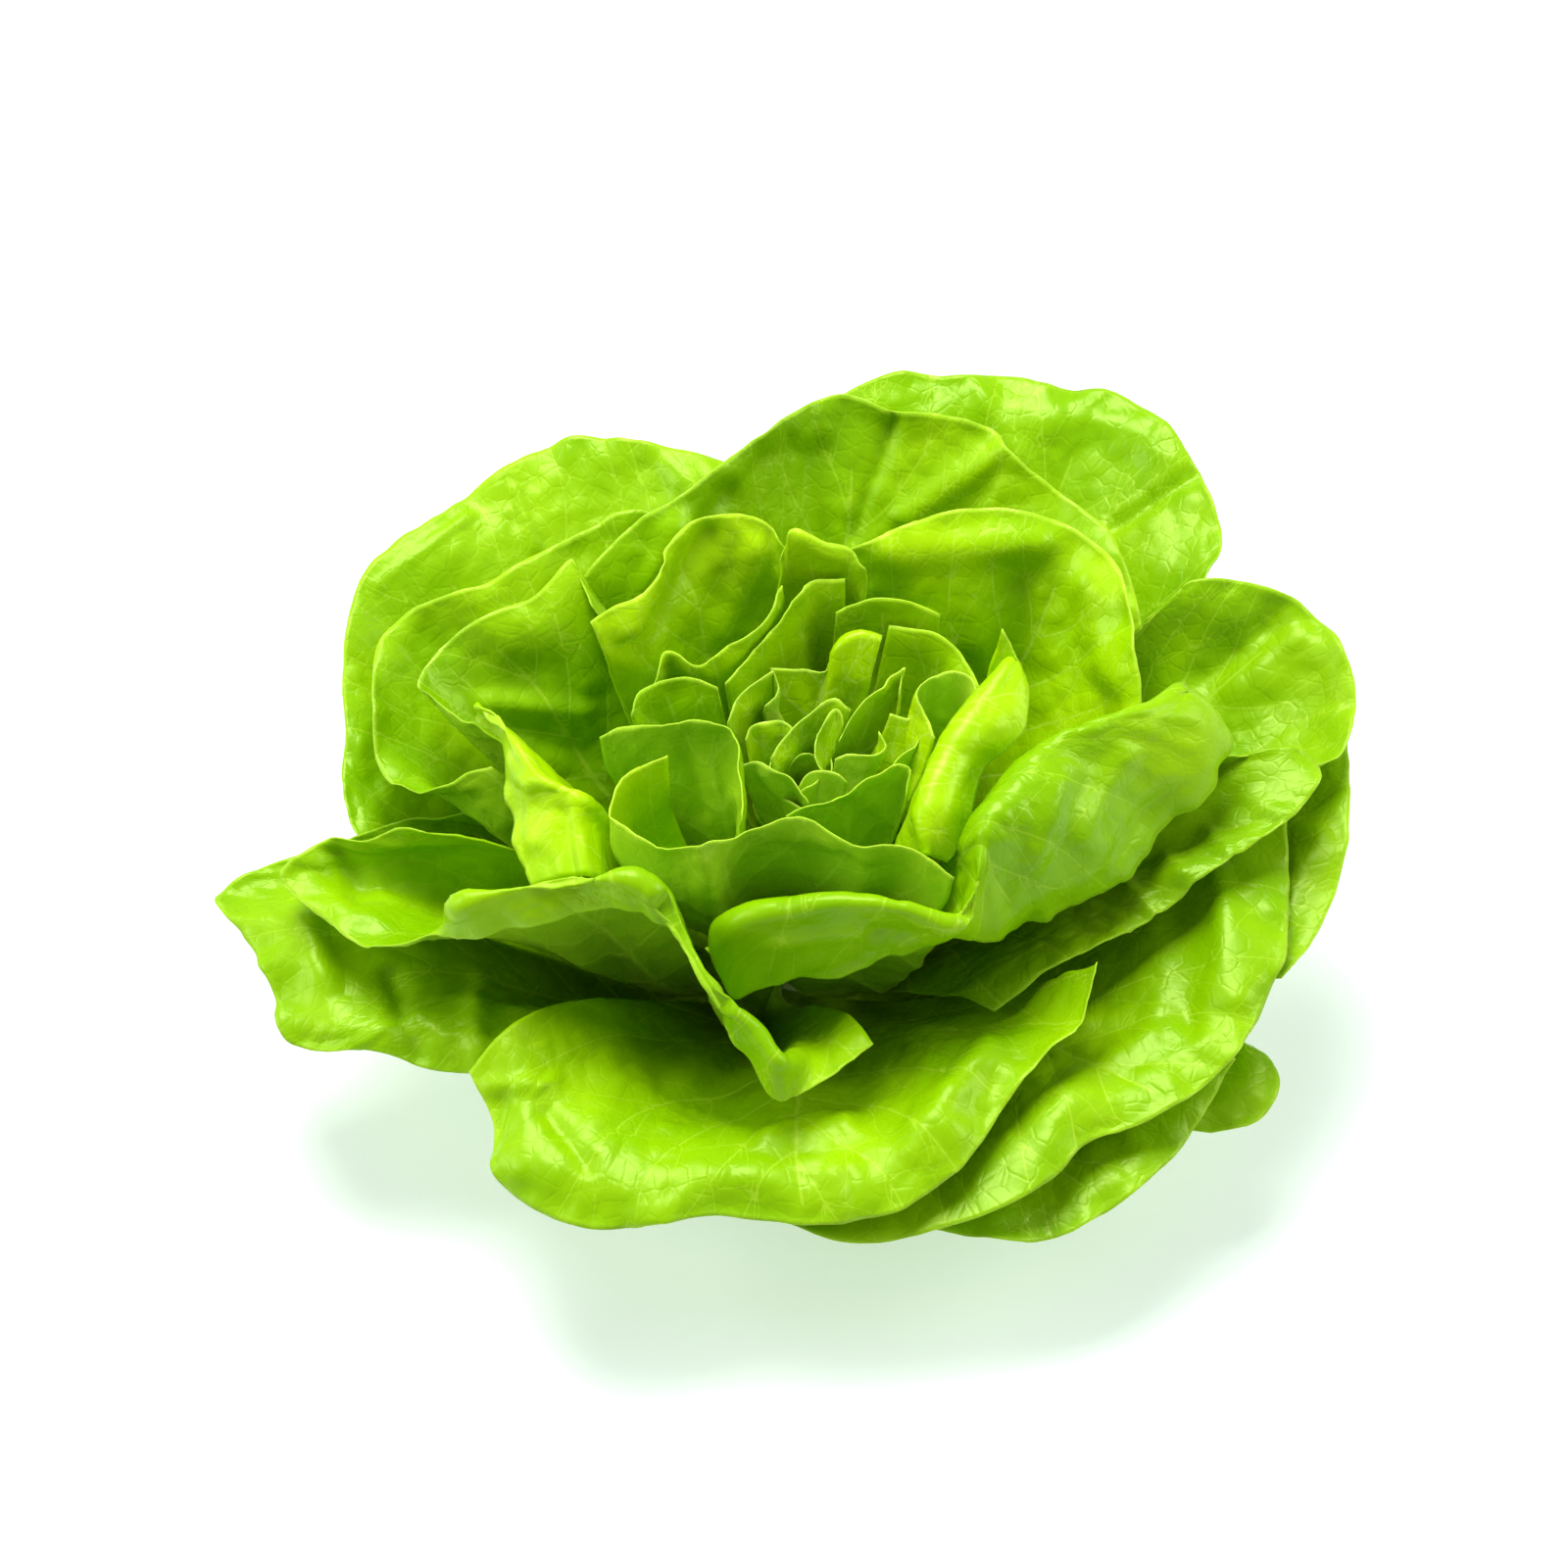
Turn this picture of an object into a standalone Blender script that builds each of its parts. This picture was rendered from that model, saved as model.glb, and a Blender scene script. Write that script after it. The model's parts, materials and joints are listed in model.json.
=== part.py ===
"""A butterhead lettuce, cut at the stem: a stump, separate leaves and a heart of little leaves.

All lengths are millimetres until a mesh is made. The cut stem face is at the origin and the
leaves rise along +Z. A leaf is a sheet of ribs that fan out from its root on the stem to its rim.
A rim point is named by where it is seen from the front (a picture point) and its height.
"""

import math
import random

import bmesh
import bpy
import numpy as np
from mathutils import Vector
from mathutils.bvhtree import BVHTree

MM = 0.001

# Stem
STEM_RADIUS = 15.0
STEM_WAIST_HEIGHT = 8.0
STEM_TOP_RADIUS = 6.0
STEM_HEIGHT = 48.0
STEM_EDGE = 0.8
STEM_CROWN = 2.0
STEM_TAPER = 0.8
STEM_RINGS = 5
STEM_SIDES = 20
ROOT_GAP = 0.35

# Leaves
BLADE = 0.9
MIDRIB_EXTRA = 1.8
MIDRIB_SHARE = 0.45
MIDRIB_WIDTH = 0.22
FIRST_LEVEL = 6.0
LAST_LEVEL = 45.0
RISE_SHARE = 0.9
RISE_DROP = 12.0
ROLLED_RISE = 0.2
ROOT_HALF_ANGLE = 24.0
COLUMN_STEP = 13.0
FEWEST_COLUMNS = 5
ROWS = (0.0, 0.12, 0.27, 0.43, 0.58, 0.72, 0.86, 1.0)
FULLEST_AT = 0.8

# How a rib leaves the stem and arrives at the rim
OUTWARD_SHARE = 0.6
START_PULL = 0.38
END_PULL = 0.36
CREST_AT = 0.72
CREST_LEAN = 50.0
FOLD_PULL = 0.3
HANG_LEAN = -48.0
HANG_PULL = 0.32

# How leaves that touch are bent clear of each other
CLEARANCE = 2.2
REACH_OF_PUSH = 10.0
MARGIN_REACH = 5.0
STRAIGHT_SHARE = 0.8
LONGEST_PUSH = 2.0
SHORTEST_PUSH = 0.05
FREE_FROM = 0.25
FREE_TO = 0.75
RIM_LOOSE = 0.35
PASSES = 40

# Heart
HEART_BASE = 48.4
HEART_TOP = 84.0
HEART_CORE_RADIUS = 6.5
HEART_CORE_HEIGHT = 30.0
HEART_CORE_TAPER = 0.5
HEART_LEAVES = 5
HEART_STATIONS = 7
HEART_SEED = 4
HEART_FIRST_BEARING = 250.0
HEART_REACH = 9.0
HEART_INNER_REACH = 3.5
HEART_HALF_ANGLE = 44.0
HEART_HALF_ANGLE_GAIN = 18.0
HEART_TOP_SPREAD = 3.0
HEART_TIP_ROUNDING = 5.0
HEART_RIM_WAVE = 1.2
HEART_CURL = 0.12
HEART_CURL_WAVES = 3.0
HEART_FIRST_ROOT = 4.0
LITTLE_LEAF_RISE = 1.5
HEART_ROOT_RISE = 14.0
HEART_ROOT_HALF_ANGLE = 50.0
HEART_ROOT_SUNK = 0.6
HEART_LEAN = 86.0
GOLDEN_ANGLE = 137.5

# Colours
STEM_COLOUR = (0.72, 0.80, 0.45)
LEAF_COLOUR = (0.28, 0.55, 0.02)
HEART_COLOUR = (0.34, 0.58, 0.05)
LEAF_ROUGHNESS = 0.45

# The view that the picture points are read in
VIEW_ELEVATION = math.radians(48.0)
VIEW_DISTANCE = 900.0
VIEW_FOCAL = 4000.0
VIEW_MIDDLE = 800.0
VIEW_AIM = np.array((-4.5, 0.0, 80.0))

# Each leaf, outermost first: name, bearing of its root, lean of its rim, how far its
# margins bow out, rim points.
# A rim point is picture x, picture y, height. A fourth number is its own lean. Three more
# numbers instead are the picture x, picture y and height of the crest of a rolled edge.
LEAVES = (
    ("leaf_small_right", 335, -5, 0.10, (
        (1240, 1060, 41), (1272, 1065, 39), (1300, 1080, 38), (1308, 1100, 37),
        (1280, 1148, 36), (1228, 1155, 36), (1195, 1150, 37))),
    ("leaf_low_front_right", 300, -10, 0.12, (
        (1262, 1085, 46), (1250, 1105, 44), (1225, 1150, 42), (1165, 1215, 40),
        (1090, 1258, 38), (1040, 1268, 37), (965, 1260, 38), (900, 1250, 40))),
    ("leaf_right_outer", 352, 5, 0.08, (
        (1372, 700, 80), (1378, 750, 76), (1380, 800, 72), (1375, 870, 68), (1345, 950, 62),
        (1308, 1000, 60))),
    ("leaf_back_right_outer", 62, 30, 0.16, (
        (830, 420, 90), (868, 398, 92), (905, 377, 94), (950, 389, 94), (1000, 378, 95),
        (1070, 392, 95), (1130, 397, 95), (1190, 430, 94), (1220, 474, 91), (1245, 530, 88),
        (1250, 555, 86), (1235, 592, 84), (1200, 640, 78))),
    ("leaf_back_left_outer", 140, 25, 0.15, (
        (790, 490, 92), (738, 467, 93), (660, 452, 93), (600, 444, 92), (520, 473, 89),
        (440, 528, 84), (370, 585, 78), (350, 640, 74), (348, 700, 70), (350, 760, 66),
        (347, 800, 62), (360, 850, 58), (400, 890, 52))),
    ("leaf_left_low", 212, -25, 0.06, (
        (480, 826, 60, 20), (430, 832, 60, 20), (355, 855, 60, 15), (285, 880, 59, 10),
        (217, 913, 58, 0),
        (240, 945, 57), (272, 1000, 54), (300, 1075, 50), (313, 1084, 49), (352, 1062, 52),
        (410, 1088, 50), (480, 1095, 49), (590, 1120, 45), (680, 1130, 43))),
    ("leaf_front_right", 318, -10, 0.12, (
        (1318, 815, 64), (1315, 845, 66), (1320, 900, 66), (1305, 1000, 62), (1280, 1055, 57),
        (1250, 1095, 54), (1190, 1140, 51), (1110, 1170, 50), (1060, 1220, 46),
        (985, 1250, 43), (920, 1268, 41), (850, 1270, 41), (795, 1250, 43))),
    ("leaf_left_second", 158, 35, 0.03, (
        (690, 530, 99), (668, 517, 100), (600, 540, 98), (500, 590, 94), (400, 635, 88),
        (380, 665, 86), (376, 700, 84), (385, 765, 80), (400, 790, 79), (420, 800, 79),
        (460, 800, 80), (500, 780, 83))),
    ("leaf_right_upper", 12, 35, 0.04, (
        (1165, 625, 87), (1210, 590, 93), (1300, 602, 92), (1345, 625, 90), (1380, 680, 86),
        (1385, 705, 84), (1365, 760, 83), (1335, 780, 83))),
    ("leaf_front", 262, -35, 0.06, (
        (477, 1095, 58), (500, 1135, 54), (498, 1190, 50), (512, 1212, 49), (575, 1248, 48),
        (625, 1258, 48), (727, 1243, 49), (830, 1252, 48), (930, 1232, 50), (985, 1190, 54),
        (1020, 1135, 58, -15), (1060, 1080, 63, 5), (1110, 1020, 71, 25), (1118, 980, 75, 35))),
    ("leaf_back", 92, 55, 0.08, (
        (575, 620, 100), (600, 580, 106), (640, 535, 110), (667, 518, 112), (740, 465, 114),
        (800, 425, 116), (850, 402, 117), (880, 402, 117), (907, 417, 114), (980, 425, 113),
        (1030, 447, 110), (1060, 487, 106), (1125, 530, 102, 45), (1143, 555, 100, 35),
        (1157, 598, 97, 30), (1165, 640, 92, 30))),
    ("leaf_right_second", 338, 10, 0.03, (
        (1250, 772, 85), (1340, 765, 85), (1352, 790, 84), (1310, 850, 78), (1250, 885, 75),
        (1178, 936, 68), (1110, 975, 63), (1060, 1012, 58), (1020, 1040, 54))),
    ("leaf_front_left_rolled", 225, 10, 0.00, (
        (430, 850, 82), (340, 852, 77), (283, 888, 72), (330, 935, 72), (380, 962, 74),
        (405, 966, 76), (440, 955, 80, 455, 940, 84), (500, 953, 84, 505, 915, 92),
        (550, 948, 87, 560, 900, 97), (600, 935, 90, 605, 896, 98),
        (640, 930, 91, 650, 897, 97), (680, 935, 89, 678, 915, 95),
        (700, 960, 86, 700, 945, 91), (715, 1000, 82, 722, 990, 88),
        (745, 1027, 78, 745, 1015, 83), (755, 1075, 70, 775, 1050, 76),
        (800, 1122, 62, 805, 1085, 69), (850, 1105, 62), (893, 1068, 64))),
    ("leaf_left_pointed", 162, 45, 0.02, (
        (612, 612, 105), (602, 580, 107), (575, 566, 109), (550, 600, 105),
        (500, 620, 102), (440, 668, 97), (413, 697, 94), (450, 722, 92), (480, 735, 91))),
    ("leaf_right_rolled", 308, 30, 0.06, (
        (1225, 712, 99, 1200, 718, 103), (1250, 750, 93, 1150, 732, 107),
        (1240, 790, 88, 1100, 748, 108), (1200, 840, 83, 1060, 765, 108),
        (1145, 905, 77, 1020, 800, 107), (1090, 925, 75, 1000, 830, 105),
        (1020, 958, 76, 985, 870, 101), (960, 965, 80, 965, 935, 92),
        (910, 975, 79, 925, 925, 95), (850, 1000, 73, 870, 918, 96),
        (800, 1003, 71, 810, 925, 92), (757, 1022, 66, 750, 940, 86),
        (714, 970, 77))),
    ("leaf_upper_left", 122, 75, 0.06, (
        (606, 636, 112), (645, 617, 115), (650, 590, 116), (680, 555, 118), (700, 537, 118),
        (760, 522, 119), (797, 548, 114), (812, 575, 108))),
    ("leaf_upper_right", 30, 60, 0.06, (
        (868, 560, 111), (900, 545, 114), (940, 525, 118), (1030, 518, 121), (1100, 540, 118),
        (1150, 590, 114), (1165, 660, 108), (1172, 710, 102), (1160, 730, 98),
        (1110, 745, 93))),
    ("leaf_left_middle", 195, 60, 0.00, (
        (488, 735, 94, 490, 722, 97), (505, 770, 91, 523, 749, 97),
        (508, 802, 88, 559, 797, 96), (515, 818, 86, 584, 810, 95),
        (533, 856, 82, 602, 822, 94), (535, 880, 80, 608, 850, 91),
        (548, 905, 78, 620, 895, 86))),
    ("leaf_front_middle", 255, 95, 0.06, (
        (676, 764, 101), (635, 784, 100), (611, 812, 98), (612, 835, 98),
        (648, 856, 98), (678, 874, 97), (720, 860, 100), (770, 836, 102), (825, 838, 102),
        (875, 863, 100), (893, 865, 99), (910, 852, 101), (945, 878, 99), (978, 895, 96))),
    ("leaf_curly_back", 77, 80, 0.03, (
        (795, 568, 113), (807, 532, 121), (845, 547, 118), (870, 556, 116), (886, 577, 112))),
    ("leaf_right_spear", 340, 70, 0.03, (
        (1024, 640, 118), (1050, 700, 108, 1012, 680, 111), (1052, 722, 106, 1000, 708, 109),
        (1020, 762, 102, 970, 740, 106), (1000, 800, 98, 945, 790, 103),
        (985, 860, 93, 930, 845, 99), (970, 882, 92, 945, 872, 95))),
    ("leaf_curl_inner", 118, 85, 0.03, (
        (664, 700, 98), (668, 678, 101), (680, 662, 104), (698, 664, 103), (712, 678, 101),
        (735, 662, 103), (760, 648, 104), (785, 622, 107), (797, 596, 110))),
    ("leaf_back_curl", 86, 85, 0.02, (
        (736, 694, 98), (752, 680, 99), (770, 662, 101), (790, 640, 104), (806, 614, 107),
        (825, 593, 109), (845, 583, 110), (862, 588, 109))),
    ("leaf_ribbon_back", 62, 85, 0.03, (
        (853, 622, 104), (875, 611, 106), (903, 606, 107), (932, 611, 106), (960, 624, 103))),
    ("leaf_left_inner", 205, 90, 0.03, (
        (612, 757, 96), (635, 746, 99), (665, 739, 101), (706, 739, 102), (727, 731, 103),
        (745, 739, 102), (751, 765, 99), (751, 835, 92))),
    ("leaf_ribbon_inner", 45, 80, 0.03, (
        (908, 634, 101), (932, 638, 101), (957, 642, 101), (978, 655, 99), (992, 676, 97),
        (1004, 698, 94))),
    ("leaf_front_inner", 285, 80, 0.04, (
        (806, 838, 93), (824, 826, 95), (848, 813, 96), (875, 799, 98), (902, 787, 99),
        (925, 783, 99), (937, 790, 98), (930, 812, 94))),
    ("leaf_inner_left_back", 165, 80, 0.03, (
        (640, 726, 96), (650, 706, 99), (678, 693, 101), (708, 689, 102), (734, 697, 101))),
)

# The little leaves of the heart that can be told apart, outermost first, in the same form
LITTLE_LEAVES = (
    ("right_loop", 8, 85, 0.0, (
        (957, 752, 94), (944, 727, 97), (937, 704, 100), (952, 690, 102), (975, 687, 102),
        (993, 695, 101), (998, 714, 98))),
    ("left_loop", 150, 85, 0.0, (
        (744, 736, 95), (754, 713, 98), (772, 694, 100), (790, 682, 101), (799, 687, 100),
        (794, 702, 98), (778, 716, 96))),
    ("back_low", 82, 80, 0.0, (
        (786, 676, 96), (808, 679, 96), (832, 685, 95), (856, 684, 95, 858, 658, 101),
        (878, 681, 95, 880, 650, 102), (893, 670, 96, 898, 656, 101))),
    ("left", 175, 80, 0.0, (
        (757, 752, 90), (764, 738, 92), (780, 733, 93), (798, 735, 93), (808, 743, 92))),
    ("front_left", 235, 75, 0.0, (
        (752, 784, 88), (768, 779, 90), (786, 784, 90), (803, 792, 89), (814, 806, 87),
        (822, 822, 84))),
    ("right", 350, 75, 0.0, (
        (912, 782, 86), (932, 764, 89), (946, 745, 92), (944, 728, 94), (932, 729, 93),
        (922, 731, 92), (910, 724, 93))),
    ("back_pointed", 40, 80, 0.0, (
        (922, 706, 94), (923, 678, 98), (908, 690, 97), (888, 713, 94), (872, 735, 91),
        (862, 755, 89))),
    ("front", 285, 82, 0.0, (
        (814, 800, 85), (824, 786, 87), (842, 780, 88), (858, 784, 88), (866, 796, 86))),
    ("middle_left", 140, 80, 0.0, (
        (786, 772, 88), (803, 752, 91), (822, 734, 93), (842, 720, 94), (856, 712, 95),
        (868, 724, 93))),
    ("front_right", 330, 85, 0.0, (
        (852, 776, 87), (868, 769, 89), (888, 766, 90), (903, 760, 91), (900, 745, 93))),
    ("pale_curl", 300, 88, 0.0, (
        (840, 786, 87), (833, 766, 90), (834, 746, 92), (843, 729, 94), (855, 722, 95),
        (858, 738, 92))),
)


def clear_scene():
    for old in list(bpy.data.objects):
        bpy.data.objects.remove(old, do_unlink=True)


def seen_at(x, y, height):
    """The point at this height that is seen at picture point x, y."""
    sine, cosine = math.sin(VIEW_ELEVATION), math.cos(VIEW_ELEVATION)
    eye = VIEW_AIM + VIEW_DISTANCE * np.array((0.0, -cosine, sine))
    right = (x - VIEW_MIDDLE) / VIEW_FOCAL
    up = (VIEW_MIDDLE - y) / VIEW_FOCAL
    ray = np.array((right, cosine + up * sine, up * cosine - sine))
    return eye + ray * (height - eye[2]) / ray[2]


def stem_radius(height):
    share = max(0.0, height - STEM_WAIST_HEIGHT) / (STEM_HEIGHT - STEM_WAIST_HEIGHT)
    return STEM_RADIUS + (STEM_TOP_RADIUS - STEM_RADIUS) * share ** STEM_TAPER


def polar(bearing, reach, height):
    angle = math.radians(bearing)
    return np.array((reach * math.cos(angle), reach * math.sin(angle), height))


def bezier(points, t):
    a, b, c, d = points
    u = 1.0 - t
    return a * u ** 3 + b * 3 * u * u * t + c * 3 * u * t * t + d * t ** 3


def turned(across, lean):
    """A direction that leans up from the horizontal direction across."""
    angle = math.radians(lean)
    flat = np.array((across[0], across[1], 0.0))
    flat /= max(np.linalg.norm(flat), 1e-6)
    return flat * math.cos(angle) + np.array((0.0, 0.0, math.sin(angle)))


def rib(root, rim, crest, lean):
    """Points from the root to one rim point, over the crest where the edge is rolled."""
    outward = np.array((root[0], root[1], 0.0))
    outward /= np.linalg.norm(outward)
    end = rim if crest is None else crest
    across = end - root
    length = np.linalg.norm(across)
    across = across / length
    steepness = math.degrees(math.asin(across[2]))
    rise = max(0.0, RISE_SHARE * steepness - RISE_DROP)
    if crest is not None:
        rise *= ROLLED_RISE
    start = turned(outward * OUTWARD_SHARE + across * (1.0 - OUTWARD_SHARE), rise)
    arrive = turned(end - root, lean if crest is None else CREST_LEAN)
    body = (root, root + start * length * START_PULL, end - arrive * length * END_PULL, end)
    if crest is None:
        return [bezier(body, t) for t in ROWS]
    drop = np.linalg.norm(rim - end)
    hang = turned(rim - end, HANG_LEAN)
    fold = (end, end + arrive * drop * FOLD_PULL, rim - hang * drop * HANG_PULL, rim)
    points = []
    for t in ROWS:
        if t <= CREST_AT:
            points.append(bezier(body, t / CREST_AT))
        else:
            points.append(bezier(fold, (t - CREST_AT) / (1.0 - CREST_AT)))
    return points


def widened(points, side, widening):
    """The rib bowed out sideways, most at the leaf's two margins, so that the blade is full."""
    along = points[-1] - points[0]
    sideways = np.array((-along[1], along[0], 0.0)) * side * abs(side) * widening
    return [p + sideways * math.sin(math.pi * t ** FULLEST_AT) for p, t in zip(points, ROWS)]


def through(rows, places, wanted):
    """Rows of points read at the wanted places along a smooth curve through them."""
    slopes = np.gradient(rows, places, axis=0)
    found = []
    for place in wanted:
        i = min(max(np.searchsorted(places, place) - 1, 0), len(places) - 2)
        span = places[i + 1] - places[i]
        t = (place - places[i]) / span
        t2, t3 = t * t, t * t * t
        found.append(
            rows[i] * (2 * t3 - 3 * t2 + 1)
            + slopes[i] * span * (t3 - 2 * t2 + t)
            + rows[i + 1] * (3 * t2 - 2 * t3)
            + slopes[i + 1] * span * (t3 - t2)
        )
    return np.array(found)


def leaf_sheet(roots, rims, crests, leans, widening):
    """The middle surface of a leaf: an array of columns, rows and coordinates."""
    steps = np.linalg.norm(np.diff(rims, axis=0), axis=1)
    places = np.concatenate(((0.0,), np.cumsum(steps))) / steps.sum()
    ribs = [rib(*four) for four in zip(roots(places), rims, crests, leans)]
    ribs = [widened(r, 2.0 * place - 1.0, widening) for r, place in zip(ribs, places)]
    columns = max(FEWEST_COLUMNS, round(steps.sum() / COLUMN_STEP))
    return through(np.array(ribs), places, np.linspace(0.0, 1.0, columns + 1))


def large_leaf(bearing, level, lean, widening, stations, reach, half_angle):
    rims = np.array([seen_at(*station[:3]) for station in stations])
    turning = rims[:-1, 0] * rims[1:, 1] - rims[1:, 0] * rims[:-1, 1]
    if turning.sum() < 0:
        stations = stations[::-1]
        rims = rims[::-1]
    crests = [seen_at(*station[3:]) if len(station) == 6 else None for station in stations]
    leans = [station[3] if len(station) == 4 else lean for station in stations]

    def roots(places):
        return [polar(bearing + half_angle * (2 * p - 1), reach, level) for p in places]

    return leaf_sheet(roots, rims, crests, leans, widening)


def heart_leaf(number, chance):
    """One little leaf of the heart: a cupped blade whose root is sunk in the core."""
    share = number / (HEART_LEAVES - 1)
    bearing = HEART_FIRST_BEARING + GOLDEN_ANGLE * number
    reach = HEART_REACH * (1.0 - share) + HEART_INNER_REACH * share
    top = HEART_TOP + chance.uniform(-HEART_TOP_SPREAD, HEART_TOP_SPREAD)
    half = HEART_HALF_ANGLE + HEART_HALF_ANGLE_GAIN * share
    rims = []
    for across in np.linspace(-1.0, 1.0, HEART_STATIONS):
        curl = 1.0 + HEART_CURL * math.sin(HEART_CURL_WAVES * across + number)
        wave = chance.uniform(-HEART_RIM_WAVE, HEART_RIM_WAVE)
        height = top - HEART_TIP_ROUNDING * across ** 2 + wave
        rims.append(polar(bearing + half * across, reach * curl, height))
    level = HEART_BASE + HEART_FIRST_ROOT + HEART_ROOT_RISE * share
    sunk = HEART_CORE_RADIUS * HEART_ROOT_SUNK

    def roots(places):
        turns = [bearing + HEART_ROOT_HALF_ANGLE * (2 * p - 1) for p in places]
        return [polar(turn, sunk, level) for turn in turns]

    leans = [HEART_LEAN] * HEART_STATIONS
    return leaf_sheet(roots, np.array(rims), [None] * HEART_STATIONS, leans, 0.0)


def sheet_normals(sheet):
    """Unit normals on the side that faces the heart."""
    along = np.gradient(sheet, axis=0)
    outward = np.gradient(sheet, axis=1)
    normals = np.cross(outward, along)
    return normals / np.maximum(np.linalg.norm(normals, axis=2, keepdims=True), 1e-9)


def grid_triangles(columns, rows):
    """Corner numbers of a grid's triangles, facing the heart."""
    faces = []
    for i in range(columns - 1):
        for j in range(rows - 1):
            a, b = i * rows + j, i * rows + j + 1
            c, d = a + rows, b + rows
            faces.append((a, b, d))
            faces.append((a, d, c))
    return faces


def surface_tree(sheet):
    points = [Vector(p) for p in sheet.reshape(-1, 3)]
    return BVHTree.FromPolygons(points, grid_triangles(*sheet.shape[:2]))


def on_margin(triangle, columns, rows):
    cell = triangle // 2
    i, j = divmod(cell, rows - 1)
    return i in (0, columns - 2) or j == rows - 2


def clearing_push(point, tree, shape, gap):
    """How far this point must move to stand clear on the heart's side of one outer leaf."""
    place, normal, triangle, distance = tree.find_nearest(Vector(point), REACH_OF_PUSH)
    if place is None:
        return None, triangle
    side = (Vector(point) - place).dot(normal)
    beyond = distance > MARGIN_REACH or abs(side) < STRAIGHT_SHARE * distance
    if side >= gap or (beyond and on_margin(triangle, *shape)):
        return None, triangle
    return np.array(normal) * min(gap - side, LONGEST_PUSH), triangle


def keep_longer(push, index, found):
    if np.dot(found, found) > np.dot(push[index], push[index]):
        push[index] = found


def softened(push):
    """The push with its neighbours drawn along, so that a leaf bends and doesn't dent."""
    wide = push.copy()
    for _ in range(2):
        padded = np.pad(wide, ((1, 1), (1, 1), (0, 0)), mode="edge")
        ring = padded[:-2, 1:-1] + padded[2:, 1:-1] + padded[1:-1, :-2] + padded[1:-1, 2:]
        wide = 0.5 * wide + 0.125 * ring
    longer = np.linalg.norm(wide, axis=2, keepdims=True) > np.linalg.norm(
        push, axis=2, keepdims=True
    )
    return np.where(longer, wide, push)


def probes(sheet):
    """Points of a sheet to test, each with the grid corners that it moves."""
    found = [(sheet[index], (index,)) for index in np.ndindex(sheet.shape[:2])]
    centres = (sheet[:-1, :-1] + sheet[1:, :-1] + sheet[:-1, 1:] + sheet[1:, 1:]) / 4.0
    for i, j in np.ndindex(centres.shape[:2]):
        found.append((centres[i, j], ((i, j), (i + 1, j), (i, j + 1), (i + 1, j + 1))))
    return found


def boxes_meet(one, other, gap):
    low = np.maximum(one.min(axis=(0, 1)), other.min(axis=(0, 1)))
    high = np.minimum(one.max(axis=(0, 1)), other.max(axis=(0, 1)))
    return bool((low - high < gap).all())


def part_pair(inner, outer, tree, inner_push, outer_push):
    """Adds the pushes that part one inner leaf from one leaf outside it."""
    if not boxes_meet(inner, outer, CLEARANCE):
        return
    columns, rows = outer.shape[:2]
    for point, corners in probes(inner):
        found, triangle = clearing_push(point, tree, (columns, rows), CLEARANCE)
        if found is None:
            continue
        for corner in corners:
            keep_longer(inner_push, corner, found * 0.5)
        i, j = divmod(triangle // 2, rows - 1)
        for corner in ((i, j), (i + 1, j), (i, j + 1), (i + 1, j + 1)):
            keep_longer(outer_push, corner, found * -0.5)


def bend_clear(sheets):
    """Bends the leaves apart, so that each keeps its place outside the next.

    The little leaves of the heart are fused later, so they are parted from the large ones only.
    """
    out = np.array(ROWS)
    loose = np.interp(out, (0.0, FREE_FROM, FREE_TO, 1.0), (0.0, 1.0, 1.0, RIM_LOOSE))
    loose = loose[None, :, None]
    for _ in range(PASSES):
        trees = [surface_tree(sheet) for sheet in sheets]
        pushes = [np.zeros_like(sheet) for sheet in sheets]
        for number, inner in enumerate(sheets):
            for other in range(min(number, len(LEAVES))):
                part_pair(inner, sheets[other], trees[other], pushes[number], pushes[other])
        worst = 0.0
        for sheet, push in zip(sheets, pushes):
            sheet += softened(push) * loose
            worst = max(worst, float(np.abs(push).max()))
        if worst < SHORTEST_PUSH:
            break
    return sheets


def blade_thickness(columns):
    """Extra thickness under the leaf, most at the root of the midrib."""
    across = np.abs(np.linspace(-1.0, 1.0, columns))[:, None]
    out = np.array(ROWS)[None, :]
    ridge = np.exp(-((across / MIDRIB_WIDTH) ** 2))
    return MIDRIB_EXTRA * ridge * np.clip(1.0 - out / MIDRIB_SHARE, 0.0, 1.0)


def blade_mesh(name, sheet):
    """A closed blade round the sheet, with both faces split into triangles alike."""
    columns, rows = sheet.shape[:2]
    normals = sheet_normals(sheet)
    extra = blade_thickness(columns)[:, :, None]
    top = sheet + normals * (BLADE / 2.0)
    under = sheet - normals * (BLADE / 2.0 + extra)
    points = np.concatenate((top.reshape(-1, 3), under.reshape(-1, 3))) * MM
    inner = grid_triangles(columns, rows)
    count = columns * rows
    faces = list(inner)
    faces += [(a + count, c + count, b + count) for a, b, c in inner]
    edge = [i * rows for i in range(columns)]
    edge += [(columns - 1) * rows + j for j in range(1, rows)]
    edge += [i * rows + rows - 1 for i in range(columns - 2, -1, -1)]
    edge += [j for j in range(rows - 2, 0, -1)]
    for a, b in zip(edge, edge[1:] + edge[:1]):
        faces.append((a, b, b + count))
        faces.append((a, b + count, a + count))
    mesh = bpy.data.meshes.new(name)
    mesh.from_pydata([tuple(p) for p in points], [], faces)
    return mesh


def leaf_material(name, colour):
    material = bpy.data.materials.new(name)
    material.use_nodes = True
    shader = material.node_tree.nodes["Principled BSDF"]
    shader.inputs["Base Color"].default_value = (*colour, 1.0)
    shader.inputs["Roughness"].default_value = LEAF_ROUGHNESS
    material.diffuse_color = (*colour, 1.0)
    return material


def add_object(name, mesh, material):
    mesh.materials.append(material)
    obj = bpy.data.objects.new(name, mesh)
    bpy.context.scene.collection.objects.link(obj)
    return obj


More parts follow.
